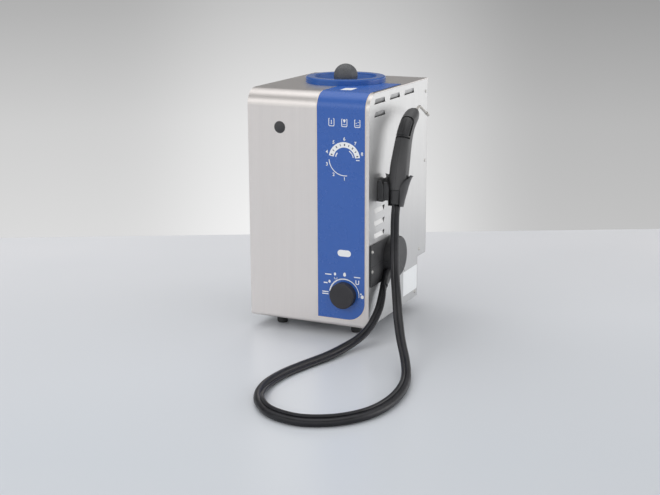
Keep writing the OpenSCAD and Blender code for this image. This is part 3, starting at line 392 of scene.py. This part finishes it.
# Twist of the section in degrees at each of these points.
hose_twist = [80, 52, 26, 17, 14, 4, -12, -15, -19, -18, -12, 18, 47, 58, 60, 58, 55, 52, 52, 52,
              45, 38, 38, 34, 38, 41, 44, 47, 48, 48]


def hose_roll(i):
    """Twist in degrees at step i of the smoothed route."""
    k, t = divmod(i / HOSE_STEPS, 1)
    k = int(k)
    return hose_twist[k] if t == 0 else hose_twist[k] * (1 - t) + hose_twist[k + 1] * t


def turned(side, along, degrees):
    """The two directions across a line, turned about it from the given side."""
    a = math.radians(degrees)
    up = along.cross(side)
    return side * math.cos(a) + up * math.sin(a), up * math.cos(a) - side * math.sin(a)


def hose_section():
    """Outline of the steam hose with the cable moulded to one side, and a groove between them."""
    big, small = STEAM / 2, CABLE / 2
    groove, half_web = big - small + 0.00005, 0.0011
    out = []
    for k in range(29):
        a = math.radians(20 + 320 * k / 28)
        out.append((-small + big * math.cos(a), big * math.sin(a)))
    out.append((groove, -half_web))
    for k in range(15):
        a = math.radians(-148 + 296 * k / 14)
        out.append((big + small * math.cos(a), small * math.sin(a)))
    out.append((groove, half_web))
    return out


def make_hose():
    """The hose as one swept section, with the line through its middle and that line's length."""
    line = smooth_curve(hose_route, HOSE_STEPS)
    along = headings(line)
    n = len(line)
    middle = n // 2
    sides = [None] * n
    sides[middle] = Vector((0, 0, 1)).cross(along[middle]).normalized()
    for i in list(range(middle - 1, -1, -1)) + list(range(middle + 1, n)):
        near = sides[i + 1] if i < middle else sides[i - 1]
        sides[i] = (near - near.dot(along[i]) * along[i]).normalized()
    section = hose_section()
    rings = []
    for i in range(n):
        u, v = turned(sides[i], along[i], hose_roll(i))
        rings.append([line[i] + p[0] * u + p[1] * v for p in section])
    piece = dress(loft("twin_hose", rings), hose_rubber)
    length = sum((line[i + 1] - line[i]).length for i in range(n - 1))
    return piece, line, length


hose, hose_line, hose_length = make_hose()
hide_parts("hose")
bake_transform(hose)


def strain_relief():
    """Sleeve round the hose, from inside the drum outward, tapered along its length."""
    drum_middle, leave = mm(136, -47, 143.5), Vector((0, -0.788, -0.616))
    half_width, half_depth, narrowing, thinning = 0.0112, 0.0092, 0.022, 0.05
    lead_in = [drum_middle + leave * (MM * d) for d in range(30, 56, 2)]
    line = lead_in + smooth_curve(hose_route, HOSE_STEPS)[:11]
    along, rings, gone = headings(line), [], 0.0
    for i, point in enumerate(line[:-1]):
        if i:
            gone += (point - line[i - 1]).length
        side = Vector((1, 0, 0))
        side = (side - side.dot(along[i]) * along[i]).normalized()
        u, v = turned(side, along[i], hose_roll(max(0, i - len(lead_in))) - 90)
        wide, thin = half_width - narrowing * gone, half_depth - thinning * gone
        rings.append([point + wide * math.cos(t) * v + thin * math.sin(t) * u
                      for t in (math.radians(10 * k) for k in range(36))])
    piece = dress(loft("strain_relief", rings), hose_rubber)
    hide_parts("hose_gland")
    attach(piece, "casing")


strain_relief()


# ---------- Handpiece and its holder ----------

HANDLE_X = 158
BODY_STEPS, BODY_SIDES, BODY_POWER = 6, 72, 2 / 2.2
TRIGGER_Y, TRIGGER_Z, TRIGGER_LEAN = -48.5, 390, math.radians(37.5)

# Along the axis of the handle and of its cup: Y, Z, half the width across X, half the thickness.
handle_stations = [(-98, 257, 11.5, 11), (-96, 266, 12.5, 12), (-92, 282, 15.5, 14),
                   (-87, 300, 18, 15.2), (-80, 326, 18.3, 15.4), (-70.5, 352, 17.0, 14.5),
                   (-60, 376, 15.9, 13.6), (-49, 393, 15.3, 13.3), (-36, 405, 14.9, 13.6),
                   (-22, 413, 13.8, 13.6), (-12, 417, 11.2, 11.3), (-6, 419.3, 7.8, 7.5),
                   (-3, 420.3, 4.6, 4.6)]
cup_stations = [(-98.9, 253.5, 11.5, 11.2), (-96, 266, 13.1, 12.6), (-92, 282, 16.1, 14.6),
                (-88, 296, 18.4, 16.1), (-85, 306, 21, 18.6), (-83.5, 311, 23.5, 21.3)]


def squared(v):
    """A sine or cosine that is pushed outward, which makes a circle a little square."""
    return math.copysign(abs(v) ** BODY_POWER, v)


def body_rings(stations, grow):
    """Rings of the handle's body round its curved axis, each moved outward by grow."""
    line = smooth_curve([Vector(s) for s in stations], BODY_STEPS)
    axis = headings([Vector((p[0], p[1])) for p in line])
    rings = []
    for p, t in zip(line, axis):
        ring = []
        for k in range(BODY_SIDES):
            a = 2 * math.pi * k / BODY_SIDES
            across = (p[2] + grow) * squared(math.sin(a))
            out = (p[3] + grow) * squared(math.cos(a))
            ring.append(mm(HANDLE_X + across, p[0] - t[1] * out, p[1] + t[0] * out))
        rings.append(ring)
    return rings


def at_trigger(x, z, y):
    """A point by its place on the trigger's face and its depth y into the handle."""
    lean = TRIGGER_LEAN
    return mm(HANDLE_X + x, TRIGGER_Y + y * math.cos(lean) + z * math.sin(lean),
              TRIGGER_Z - y * math.sin(lean) + z * math.cos(lean))


def trigger_outline(grow, r=10):
    """Outline of the trigger, square below and round above, moved outward by grow."""
    w, low, high = 13 + grow, -22 - grow, 21.5 + grow
    out = [(-w, low), (w, low)]
    for side, start in ((1, 0), (-1, 90)):
        for k in range(9):
            a = math.radians(start + 90 * k / 8)
            out.append((side * (w - r) + r * math.cos(a), high - r + r * math.sin(a)))
    return out


def handpiece():
    """The two halves of the handle, the thumb button in its pocket and the hose socket.

    The prisms start in the air over the handle and end at the floors named here.
    """
    pocket_floor, button_floor, pad_floor = -5.2, -9.5, -12
    body = loft("handle_body", body_rings(handle_stations[2:], 0))
    pocket = prism("pocket", trigger_outline(1.3), at_trigger, -30, pocket_floor)
    combine(body, pocket, "DIFFERENCE")
    for name, side, x in (("handle_half_right", 1, 158.1), ("handle_half_left", -1, 157.9)):
        half = dress(soften(half_of(body, name, x * MM, side), 0.7 * MM, 3, 45), handle_grey)
        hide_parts(name.replace("half", "shell"))
        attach(half, "handpiece")
    bpy.data.objects.remove(body)
    button = loft("thumb_button", body_rings(handle_stations, -0.2))
    pad = loft("pad", body_rings(handle_stations, 1.0))
    rib = loft("rib", body_rings(handle_stations, 2.2))
    rib_outline = [(-1.1, -19.5), (1.1, -19.5), (1.1, 15), (-1.1, 15)]
    for shape, outline, start, end in ((button, trigger_outline(-0.9), -24, button_floor),
                                       (pad, trigger_outline(-4.2, 7), -26, pad_floor),
                                       (rib, rib_outline, -28, pad_floor)):
        combine(shape, prism("outline", outline, at_trigger, start, end), "INTERSECT")
        if shape is not button:
            combine(button, shape, "UNION")
    dress(soften(button, 0.6 * MM, 3, 40), collar_black)
    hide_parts("trigger_button")
    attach(button, "trigger")
    collar = dress(loft("handle_socket", body_rings(handle_stations[:3], -0.35)), collar_black)
    soften(collar, 0.8 * MM, 3, 45)
    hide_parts("handle_collar")
    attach(collar, "handpiece")


def holder():
    """The cup that holds the handpiece, open to the front, and the block behind it."""
    cup_wall = 3
    cup = loft("holder_cup", body_rings(cup_stations, cup_wall))
    foot = [(137, -108), (149, -108), (149, -78), (137, -78)]
    combine(cup, prism("foot", foot, mm, 265, 299), "UNION")
    core_stations = [(-100, 249, 11, 10.8)] + cup_stations + [(-82, 316, 26, 24)]
    combine(cup, loft("core", body_rings(core_stations, 0)), "DIFFERENCE")
    edge = [(11, 240), (11, 288), (12, 293), (14.5, 299), (19, 304.5), (26, 308.5), (34, 311)]
    mouth = edge + [(34, 330), (-34, 330)] + [(-x, z) for x, z in reversed(edge)]
    combine(cup, prism("mouth", mouth, lambda x, z, y: mm(HANDLE_X + x, y, z), -160, -88),
            "DIFFERENCE")
    soften(dress(cup, body_grey), 1.1 * MM, 3, 40)
    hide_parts("holder_cradle")
    block = [(125, 262), (137, 262), (137, 292), (131.5, 304), (125, 301)]
    piece = prism("holder_base", block, lambda x, z, y: mm(x, y, z), -110, -76)
    soften(dress(rebuild(piece), body_grey), 1.4 * MM, 4, 30)
    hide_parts("holder_block")
    for made in (cup, piece):
        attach(made, "casing")


handpiece()
holder()


# ---------- Small pieces on the casing ----------

SIDE_X, COVER_X, DRUM_X = 125.02, 128.06, 147.05  # just outside the right panel, plate and drum


def from_right(y, z, x):
    """Places an outline that is drawn as seen from the right."""
    return mm(x, y, z)


def side_plate():
    """A blank plate on the right side panel, low down at the back."""
    outline = rounded_box(62.5, 66, 75, 50, 2)
    piece = prism("side_plate", outline, from_right, SIDE_X, SIDE_X + 0.33)
    soften(dress(rebuild(piece), label_white), 0.1 * MM, 2)
    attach(piece, "casing")


def parting_seam():
    """The dark line where the two halves of the outlet cover meet, on the plate and on the drum."""
    strips = (([(-143.9, 142), (-87.2, 142)], COVER_X),
              ([(-81.5, 142), (-55.7, 142), (-22, 108.3)], DRUM_X))
    half = 0.55
    for n, (line, x) in enumerate(strips):
        outline = ([(y - 0.2, z + half) for y, z in line]
                   + [(y - 0.2, z - half) for y, z in reversed(line)])
        piece = prism("parting_seam_%d" % n, outline, from_right, x - 0.3, x)
        dress(rebuild(piece), electric_black)
        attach(piece, "casing")


side_plate()
parting_seam()


# ---------- CAD pieces that keep their shape ----------

finishes = {
    "front_top_cover": front_steel, "right_side_panel": side_steel, "left_side_panel": side_steel,
    "rear_panel_upper": side_steel, "rear_panel_lower": side_steel, "base_tray": tray_steel,
    "feet": foot_rubber, "foot_screws": screw_steel, "casing_screws": screw_steel,
    "front_film": film_blue, "blanking_plug": body_grey, "display_board": board_green,
    "indicator_lamps": lamp_clear, "selector_knob": knob_black, "selector_shaft": screw_steel,
    "selector_switch": electric_black, "filler_collar": collar_blue, "boiler_cap": body_grey,
    "cap_knob": ball_grey, "cap_seal": seal_red, "boiler_shell": boiler_steel,
    "insulation_jacket": felt, "boiler_stand": tray_steel, "heater_flange": boiler_steel,
    "heater_element": boiler_steel, "safety_valve": brass, "pressure_switch": electric_black,
    "level_probes": screw_steel, "solenoid_valve": brass, "solenoid_coil": electric_black,
    "steam_pipe_inlet": copper, "steam_pipe_outlet": copper, "drain_pipe": copper,
    "drain_plug": body_grey, "control_board": board_green, "board_standoffs": screw_steel,
    "mains_inlet": electric_black, "mains_inlet_screws": screw_steel, "holder_block": body_grey,
    "holder_cradle": body_grey, "holder_screws": screw_steel, "outlet_cover_upper": body_grey,
    "outlet_cover_lower": body_grey, "outlet_screws": screw_steel, "hose_gland": foot_rubber,
    "handle_shell_left": handle_grey, "handle_shell_right": handle_grey,
    "handle_collar": collar_black, "handle_screws": screw_steel, "trigger_button": collar_black,
    "trigger_pin": screw_steel, "trigger_spring": screw_steel, "trigger_switch": electric_black,
    "nozzle_tube": nozzle_steel, "nozzle_ferrule": nozzle_steel, "nozzle_tip": nozzle_steel,
}
for name, material in finishes.items():
    dress(nodes[name], material)


# ---------- Printing on the film ----------

CX, DIAL_Z, ICON_Z = 75.7, 345.0, 412.3  # the scale's middle and the height of the tanks
KNOB_X, KNOB_Z = CX - 0.5, 85.5
BEND_Y, BEND_Z, BEND_R = -119.0, 436.0, 30.5  # axis and radius of the bend over the front
TOP_S = BEND_Z + 47.9  # how far along the film its level top begins


def on_film(x, s, lift):
    """A point over the film, s millimetres up its face and on over the bend and the top."""
    if s <= BEND_Z:
        return mm(x, BEND_Y - BEND_R - lift, s)
    turn = (s - BEND_Z) / BEND_R
    if turn <= math.pi / 2:
        r = BEND_R + lift
        return mm(x, BEND_Y - r * math.cos(turn), BEND_Z + r * math.sin(turn))
    return mm(x, BEND_Y + (turn - math.pi / 2) * BEND_R, BEND_Z + BEND_R + lift)


class Print:
    """Flat printed marks on the front film, drawn in millimetres across and along it."""

    def __init__(self, name, material, lift=0.03):
        self.name, self.material, self.lift = name, material, lift
        self.mesh = bmesh.new()

    def outline(self, points):
        """One filled outline, given anticlockwise as seen from the front."""
        front = [self.mesh.verts.new(on_film(x, z, self.lift)) for x, z in points]
        self.mesh.faces.new(front)

    def strip(self, one_side, other_side):
        """A band between two rows of points."""
        a = [self.mesh.verts.new(on_film(x, z, self.lift)) for x, z in one_side]
        b = [self.mesh.verts.new(on_film(x, z, self.lift)) for x, z in other_side]
        for i in range(len(a) - 1):
            self.mesh.faces.new((a[i], b[i], b[i + 1], a[i + 1]))

    def arc(self, cx, cz, r0, r1, a0, a1, n=48):
        """A band of a ring from one angle to another, in degrees."""
        angles = [math.radians(a0 + (a1 - a0) * k / n) for k in range(n + 1)]
        self.strip([(cx + r0 * math.cos(a), cz + r0 * math.sin(a)) for a in angles],
                   [(cx + r1 * math.cos(a), cz + r1 * math.sin(a)) for a in angles])

    def line(self, points, width):
        """A line of even width through points."""
        left, right_side = [], []
        last = len(points) - 1
        for i, (x, z) in enumerate(points):
            ax, az = points[max(i - 1, 0)]
            bx, bz = points[min(i + 1, last)]
            length = math.hypot(bx - ax, bz - az)
            nx, nz = -(bz - az) / length, (bx - ax) / length
            left.append((x + nx * width / 2, z + nz * width / 2))
            right_side.append((x - nx * width / 2, z - nz * width / 2))
        self.strip(left, right_side)

    def disc(self, cx, cz, r, n, stretch=1.0):
        """A disc with n corners, made taller by stretch."""
        angles = [2 * math.pi * k / n for k in range(n)]
        self.outline([(cx + r * math.cos(a), cz + stretch * r * math.sin(a)) for a in angles])

    def drop(self, cx, cz, r):
        """A drop of water: a disc drawn out to a tip above."""
        outline = []
        for degrees in range(-170, 190, 20):
            a, side = math.radians(degrees), abs(degrees)
            outline.append((cx + r * math.sin(a) * (1 if side > 60 else 0.9),
                            cz - r * math.cos(a) * (1.0 if side < 100 else 1.6)))
        self.outline(outline)

    def digit(self, text, cx, cz, size):
        """One numeral with its strokes thickened. More offset than this spoils the 6."""
        data = bpy.data.curves.new(self.name + text, "FONT")
        data.body = text
        data.size, data.offset = size, size * 0.03
        data.align_x, data.align_y = "CENTER", "CENTER"
        shape = add(bpy.data.objects.new(self.name + text, data))
        flat = evaluated_mesh(shape)
        bpy.data.objects.remove(shape)
        for v in flat.vertices:
            v.co = on_film(cx + v.co.x, cz + v.co.y, self.lift)
        self.mesh.from_mesh(flat)
        bpy.data.meshes.remove(flat)

    def finish(self, thick=0.025):
        """Turns the marks into one piece with this thickness outward."""
        for face in self.mesh.faces:
            face.normal_update()
            if face.normal.y - face.normal.z > 0:
                face.normal_flip()
        made = bmesh.ops.extrude_face_region(self.mesh, geom=list(self.mesh.faces))
        for v in made["geom"]:
            if isinstance(v, bmesh.types.BMVert):
                up = v.co.z > (BEND_Z + BEND_R) * MM
                v.co += mm(0, 0, thick) if up else mm(0, -thick, 0)
        bmesh.ops.recalc_face_normals(self.mesh, faces=self.mesh.faces)
        data = bpy.data.meshes.new(self.name)
        self.mesh.to_mesh(data)
        self.mesh.free()
        piece = dress(add(bpy.data.objects.new(self.name, data)), self.material)
        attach(piece, "casing")


def dial(p):
    """The upper scale: a broad band, a thin one below it, two short ones inside, and numbers."""
    number_r, number_size = 37.3, 8.8
    p.arc(CX, DIAL_Z, 21.8, 31.8, 170, 8)
    p.arc(CX, DIAL_Z, 30.4, 31.9, 184, 280)
    p.line([(CX + 23.6, DIAL_Z - 0.6), (CX + 30.6, DIAL_Z - 0.4)], 1.7)
    p.arc(CX, DIAL_Z, 16.9, 18.9, 169, 142, 10)
    p.arc(CX, DIAL_Z, 17.6, 19.2, 59, 12, 14)
    for k in range(8):
        a = math.radians(-90 - 36 * k)
        p.digit(str(k + 1), CX + number_r * math.cos(a), DIAL_Z + number_r * math.sin(a),
                number_size)


def tank(p, cx):
    """An open tank, seen from the side."""
    left = [(-3.4, 6.8), (-5.3, 6.8), (-5.3, -5), (-4.9, -6.3), (-3.8, -6.8)]
    right_half = [(-x, z) for x, z in reversed(left)]
    p.line([(cx + x, ICON_Z + z) for x, z in left + right_half], 1.3)


def tanks(p):
    """Three tanks over the scale: one with a pointer, one being filled, one with its levels."""
    first, second, third = CX - 26, CX, CX + 26
    thin = 0.9
    tank(p, first)
    p.line([(first, ICON_Z + 4.2), (first, ICON_Z - 1.5)], 1.2)
    p.disc(first, ICON_Z - 2.2, 1.2, 12)
    tank(p, second)
    p.outline([(second + x, ICON_Z + z)
               for x, z in ((0, -0.4), (2.6, 4.6), (1.3, 6.6), (-1.3, 6.6), (-2.6, 4.6))])
    p.line([(second + x, ICON_Z + z)
            for x, z in ((-3.4, -3.4), (-1.2, -2.6), (1.2, -3.4), (3.4, -2.6))], thin)
    tank(p, third)
    for x0, x1, z in ((-3.6, -0.8, 0.6), (0.6, 3.4, 2.4), (-3.2, 3.2, -3.4)):
        p.line([(third + x0, ICON_Z + z), (third + x1, ICON_Z + z)], thin)


def at_knob(r, degrees):
    """A point on the film at this distance and angle from the selector knob's axis."""
    a = math.radians(degrees)
    return KNOB_X + r * math.cos(a), KNOB_Z + r * math.sin(a)


def knob_marks(p):
    """The tapering arc over the selector knob, bars in place of words, and symbols round it."""
    arc_r = 30.3
    for first, last, wide in ((172, 120, 2.5), (120, 75, 2.1), (75, 35, 1.7), (35, -5, 1.3)):
        p.arc(KNOB_X, KNOB_Z, arc_r - wide / 2, arc_r + wide / 2, first, last, 20)
    for degrees, r0, r1, wide in ((177, 33, 46, 1.9), (183, 33, 46, 1.9), (153, 39.5, 47.5, 2.4),
                                  (132, 43, 56, 2.0)):
        cx, cz = at_knob((r0 + r1) / 2, degrees)
        half = (r1 - r0) / 2
        p.line([(cx - half, cz), (cx + half, cz)], wide)
    for r, degrees, size in ((38, 144, 2.3), (42.5, 117, 2.3), (38.5, 89, 3.0)):
        p.drop(*at_knob(r, degrees), size)
    small_tank = [(-2.8, 1.6), (-2.8, -1.8), (2.8, -1.8), (2.8, 1.6)]
    bar = [(-6.5, 1.2), (6.5, 1.2)]
    cup = [(-2.9, 4), (-2.9, -2.6), (-1.8, -3.6), (1.8, -3.6), (2.9, -2.6), (2.9, 4)]
    for (r, degrees), line, wide in (((35.5, 120), small_tank, 1.0), ((44, 53), bar, 1.8),
                                     ((38, 45), cup, 1.7)):
        cx, cz = at_knob(r, degrees)
        p.line([(cx + x, cz + z) for x, z in line], wide)
    p.disc(*at_knob(34.5, 8), 1.7, 14)
    p.disc(*at_knob(37, -1), 3.3, 18, 1.1)


def patches(p):
    """The bare pill in the middle of the face and the pale patch on the top."""
    p.outline(rounded_box(75.2, 166.0, 27.4, 12.6, 6.2))
    p.outline([(47.4, TOP_S + 12.8), (68.9, TOP_S + 17.1), (65.7, TOP_S + 52.1),
               (44.9, TOP_S + 43.2)])


white = Print("film_marks", print_white)
dial(white)
tanks(white)
knob_marks(white)
patches(white)
white.finish()


def film_edge():
    """The pale cut edge that shows along the sides and the round lower corner of the film."""
    p = Print("film_edge", edge_cream, -0.35)
    wide, corner_x, corner_z, corner_r = 1.5, 82, 72, 35.6
    face = [75 + 12 * k for k in range(31)]
    bend = [438 + 4 * k for k in range(12)]
    heights = face + bend + [490, 560, 625]
    p.line([(19.4, z) for z in [37] + heights], wide)
    angles = [math.radians(-90 + 7.5 * k) for k in range(13)]
    corner = [(corner_x + corner_r * math.cos(a), corner_z + corner_r * math.sin(a))
              for a in angles]
    p.line([(20, 36.4)] + corner + [(corner_x + corner_r, z) for z in heights], wide)
    p.finish(0.2)


def dial_ticks():
    """Dark ticks in the broad white band of the scale, every other one bolder."""
    p = Print("dial_ticks", print_dark, 0.07)
    r0, r1 = 24.9, 28.7
    for k in range(9):
        a = math.radians(164 - 18.7 * k)
        p.line([(CX + r0 * math.cos(a), DIAL_Z + r0 * math.sin(a)),
                (CX + r1 * math.cos(a), DIAL_Z + r1 * math.sin(a))], 2.1 if k % 2 == 0 else 1.4)
    p.finish()


def vent_painted_shade():
    """Near-black strips just inside the upper vents, below each flap: painted shade for the dark
    gaps under the flaps.
    """
    mesh = bmesh.new()
    size, inside_x, below = (3.6, 51, 3.2), 121.6, 1.7
    for y, z in ((-100, 445), (-26.5, 445), (47, 445), (-100, 421)):
        made = bmesh.ops.create_cube(mesh, size=MM)["verts"]
        bmesh.ops.scale(mesh, vec=size, verts=made)
        bmesh.ops.translate(mesh, vec=mm(inside_x, y, z - below), verts=made)
    data = bpy.data.meshes.new("vent_painted_shade")
    mesh.to_mesh(data)
    mesh.free()
    piece = dress(add(bpy.data.objects.new("vent_painted_shade", data)), painted_shade_black)
    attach(piece, "casing")


film_edge()
dial_ticks()
vent_painted_shade()


# ---------- Light, floor and backdrop ----------

# Grey levels of the world by the direction's height, from -1 straight down to 1 straight up:
# the wall that the camera sees, what reflections find to the front, behind and to the right of
# it, and the soft light from the front and from behind.
SEEN_WALL = ((-1, 0.9), (-0.2248, 0.9), (-0.145, 0.80), (-0.0696, 0.604), (-0.0583, 0.572),
             (0.1, 0.45), (1, 0.45))
MIRRORED_FRONT = ((-1, 0.6), (-0.1, 0.7), (0.05, 0.9), (0.15, 1.15), (0.4, 1.7), (0.6, 0.5),
                  (0.8, 0.36), (0.93, 1.25), (1, 2.0))
MIRRORED_BACK = ((-1, 0.95), (-0.25, 0.95), (0, 0.65), (0.1, 0.3), (0.24, 0.16), (0.46, 0.17),
                 (0.62, 0.7), (0.8, 0.9), (0.92, 1.6), (1, 2.0))
MIRRORED_RIGHT = ((-1, 0.6), (-0.3, 0.7), (-0.16, 1.2), (-0.02, 1.35), (0.08, 1.25), (0.17, 0.45),
                  (0.3, 0.35), (0.6, 0.7), (1, 2.0))
SOFT_FRONT = ((-1, 0.2), (0, 0.4), (0.12, 0.7), (0.4, 0.95), (1, 0.65))
SOFT_BACK = ((-1, 0.2), (0, 0.35), (0.2, 0.5), (1, 0.62))


def backdrop():
    """The world: a pale studio wall behind, and what the object mirrors and is lit by."""
    world = bpy.data.worlds.new("studio")
    scene.world = world
    world.use_nodes = True
    tree = world.node_tree
    tree.nodes.clear()
    new, link = tree.nodes.new, tree.links.new
    place = new("ShaderNodeTexCoord").outputs["Generated"]

    def along(axis):
        """How far the direction points along an axis."""
        node = new("ShaderNodeVectorMath")
        node.operation = "DOT_PRODUCT"
        link(place, node.inputs[0])
        node.inputs[1].default_value = axis
        return node.outputs["Value"]

    def maths(operation, *values):
        """A sum of the given kind over numbers and sockets."""
        node = new("ShaderNodeMath")
        node.operation = operation
        for socket, value in zip(node.inputs, values):
            if isinstance(value, (int, float)):
                socket.default_value = value
            else:
                link(value, socket)
        return node.outputs[0]

    def by_height(stops):
        """Grey level of a direction, from pairs of height and level."""
        node = new("ShaderNodeValToRGB")
        while len(node.color_ramp.elements) < len(stops):
            node.color_ramp.elements.new(0.5)
        for element, (z, value) in zip(node.color_ramp.elements, stops):
            element.position = (z + 1) / 2
            element.color = (value, value, value, 1)
        link(maths("MULTIPLY_ADD", along((0, 0, 1)), 0.5, 0.5), node.inputs["Fac"])
        return node.outputs["Color"]

    def mixed(factor, a, b):
        """The value a where the factor is 0 and b where it is 1."""
        node = new("ShaderNodeMix")
        link(factor, node.inputs[MIX_FACTOR])
        link(a, node.inputs[FLOAT_A])
        link(b, node.inputs[FLOAT_B])
        return node.outputs[FLOAT_OUT]

    def blended(value, low, high, below, above):
        """One value where the given one is below low and another one above high."""
        side = new("ShaderNodeMapRange")
        side.inputs["From Min"].default_value = low
        side.inputs["From Max"].default_value = high
        link(value, side.inputs["Value"])
        return mixed(side.outputs["Result"], below, above)

    ahead, across = along(away), along(level)
    # The wall's tone falls off to both sides of the view, up to this slope from its middle.
    edge, rounding = 0.14, 0.06
    slope = maths("DIVIDE", across, maths("MAXIMUM", ahead, 0.2))
    slope = maths("SMOOTH_MIN", maths("SMOOTH_MAX", slope, -edge, rounding), edge, rounding)
    fall = maths("MULTIPLY_ADD", maths("MULTIPLY_ADD", slope, -15.69, -0.629), slope, 1.0)
    seen = maths("MULTIPLY", by_height(SEEN_WALL), fall)
    behind = blended(across, 0.3, 0.7, by_height(MIRRORED_BACK), by_height(MIRRORED_RIGHT))
    mirrored = blended(ahead, -0.15, 0.15, by_height(MIRRORED_FRONT), behind)
    soft = blended(ahead, -0.15, 0.15, by_height(SOFT_FRONT), by_height(SOFT_BACK))
    path = new("ShaderNodeLightPath").outputs
    unseen = mixed(path["Is Glossy Ray"], soft, mirrored)
    shade = new("ShaderNodeBackground")
    link(mixed(path["Is Camera Ray"], unseen, seen), shade.inputs["Color"])
    link(shade.outputs[0], new("ShaderNodeOutputWorld").inputs["Surface"])


def floor():
    """A pale floor that ends behind the object, square to the camera, a little aslant, with painted
    shade that makes it darker and bluer towards the camera.
    """
    near_edge, far_edge, half_width, slant = -2.0, 3.2075, 7.0, 0.0417
    columns = (-1, -0.3, 0.3, 1)
    foot = Vector((camera.location.x, camera.location.y, 0))
    points = []
    for distance in (near_edge, 0, 1.5, far_edge):
        row = foot + away * distance
        heading = level + away * (slant if distance == far_edge else 0)
        points += [row + heading * (x * half_width) for x in columns]
    n = len(columns)
    faces = [(r * n + c, r * n + c + 1, r * n + c + n + 1, r * n + c + n)
             for r in range(3) for c in range(n - 1)]
    s = Shader("floor_paint", (0.775, 0.78, 0.805), 0.3, 0.0, 0.35)
    # Painted shade: the floor turns darker and bluer towards the camera, standing in for how the
    # light falls off across it.
    near = s.tree.nodes.new("ShaderNodeVectorMath")
    near.operation = "DOT_PRODUCT"
    s.tree.links.new(s.place.outputs["Object"], near.inputs[0])
    near.inputs[1].default_value = -away
    s.tint(near.outputs["Value"], (0.655, 0.69, 0.735), (-0.5, 0.75))
    s.tint(s.noise((1.6, 1.6, 1.6), 2, 0.5), (0.68, 0.7, 0.735), (0.3, 1.2))
    dress(mesh_piece("studio_floor", points, faces, False), s.material)


def lamp(name, place, target, size, power, glossy=True):
    """A rectangular lamp of this many watts. Without glossy it isn't mirrored in the object."""
    data = bpy.data.lights.new(name, "AREA")
    data.shape = "RECTANGLE"
    data.size, data.size_y = size
    data.energy = power
    obj = add(bpy.data.objects.new(name, data))
    obj.location = place
    obj.rotation_euler = (Vector(target) - Vector(place)).to_track_quat("-Z", "Y").to_euler()
    obj.visible_glossy = glossy


backdrop()
floor()
lamp("overhead", (-1.2, 0.7, 2.3), (0.0, 0.0, 0.2), (2.4, 2.4), 25.5, glossy=False)
lamp("front_fill", (-1.2, -2.5, 1.6), (0, -0.1, 0.25), (1.8, 1.4), 13, glossy=False)
lamp("side_box", (2.3, 0.95, 0.65), (0.15, -0.1, 0.3), (1.9, 1.3), 14)
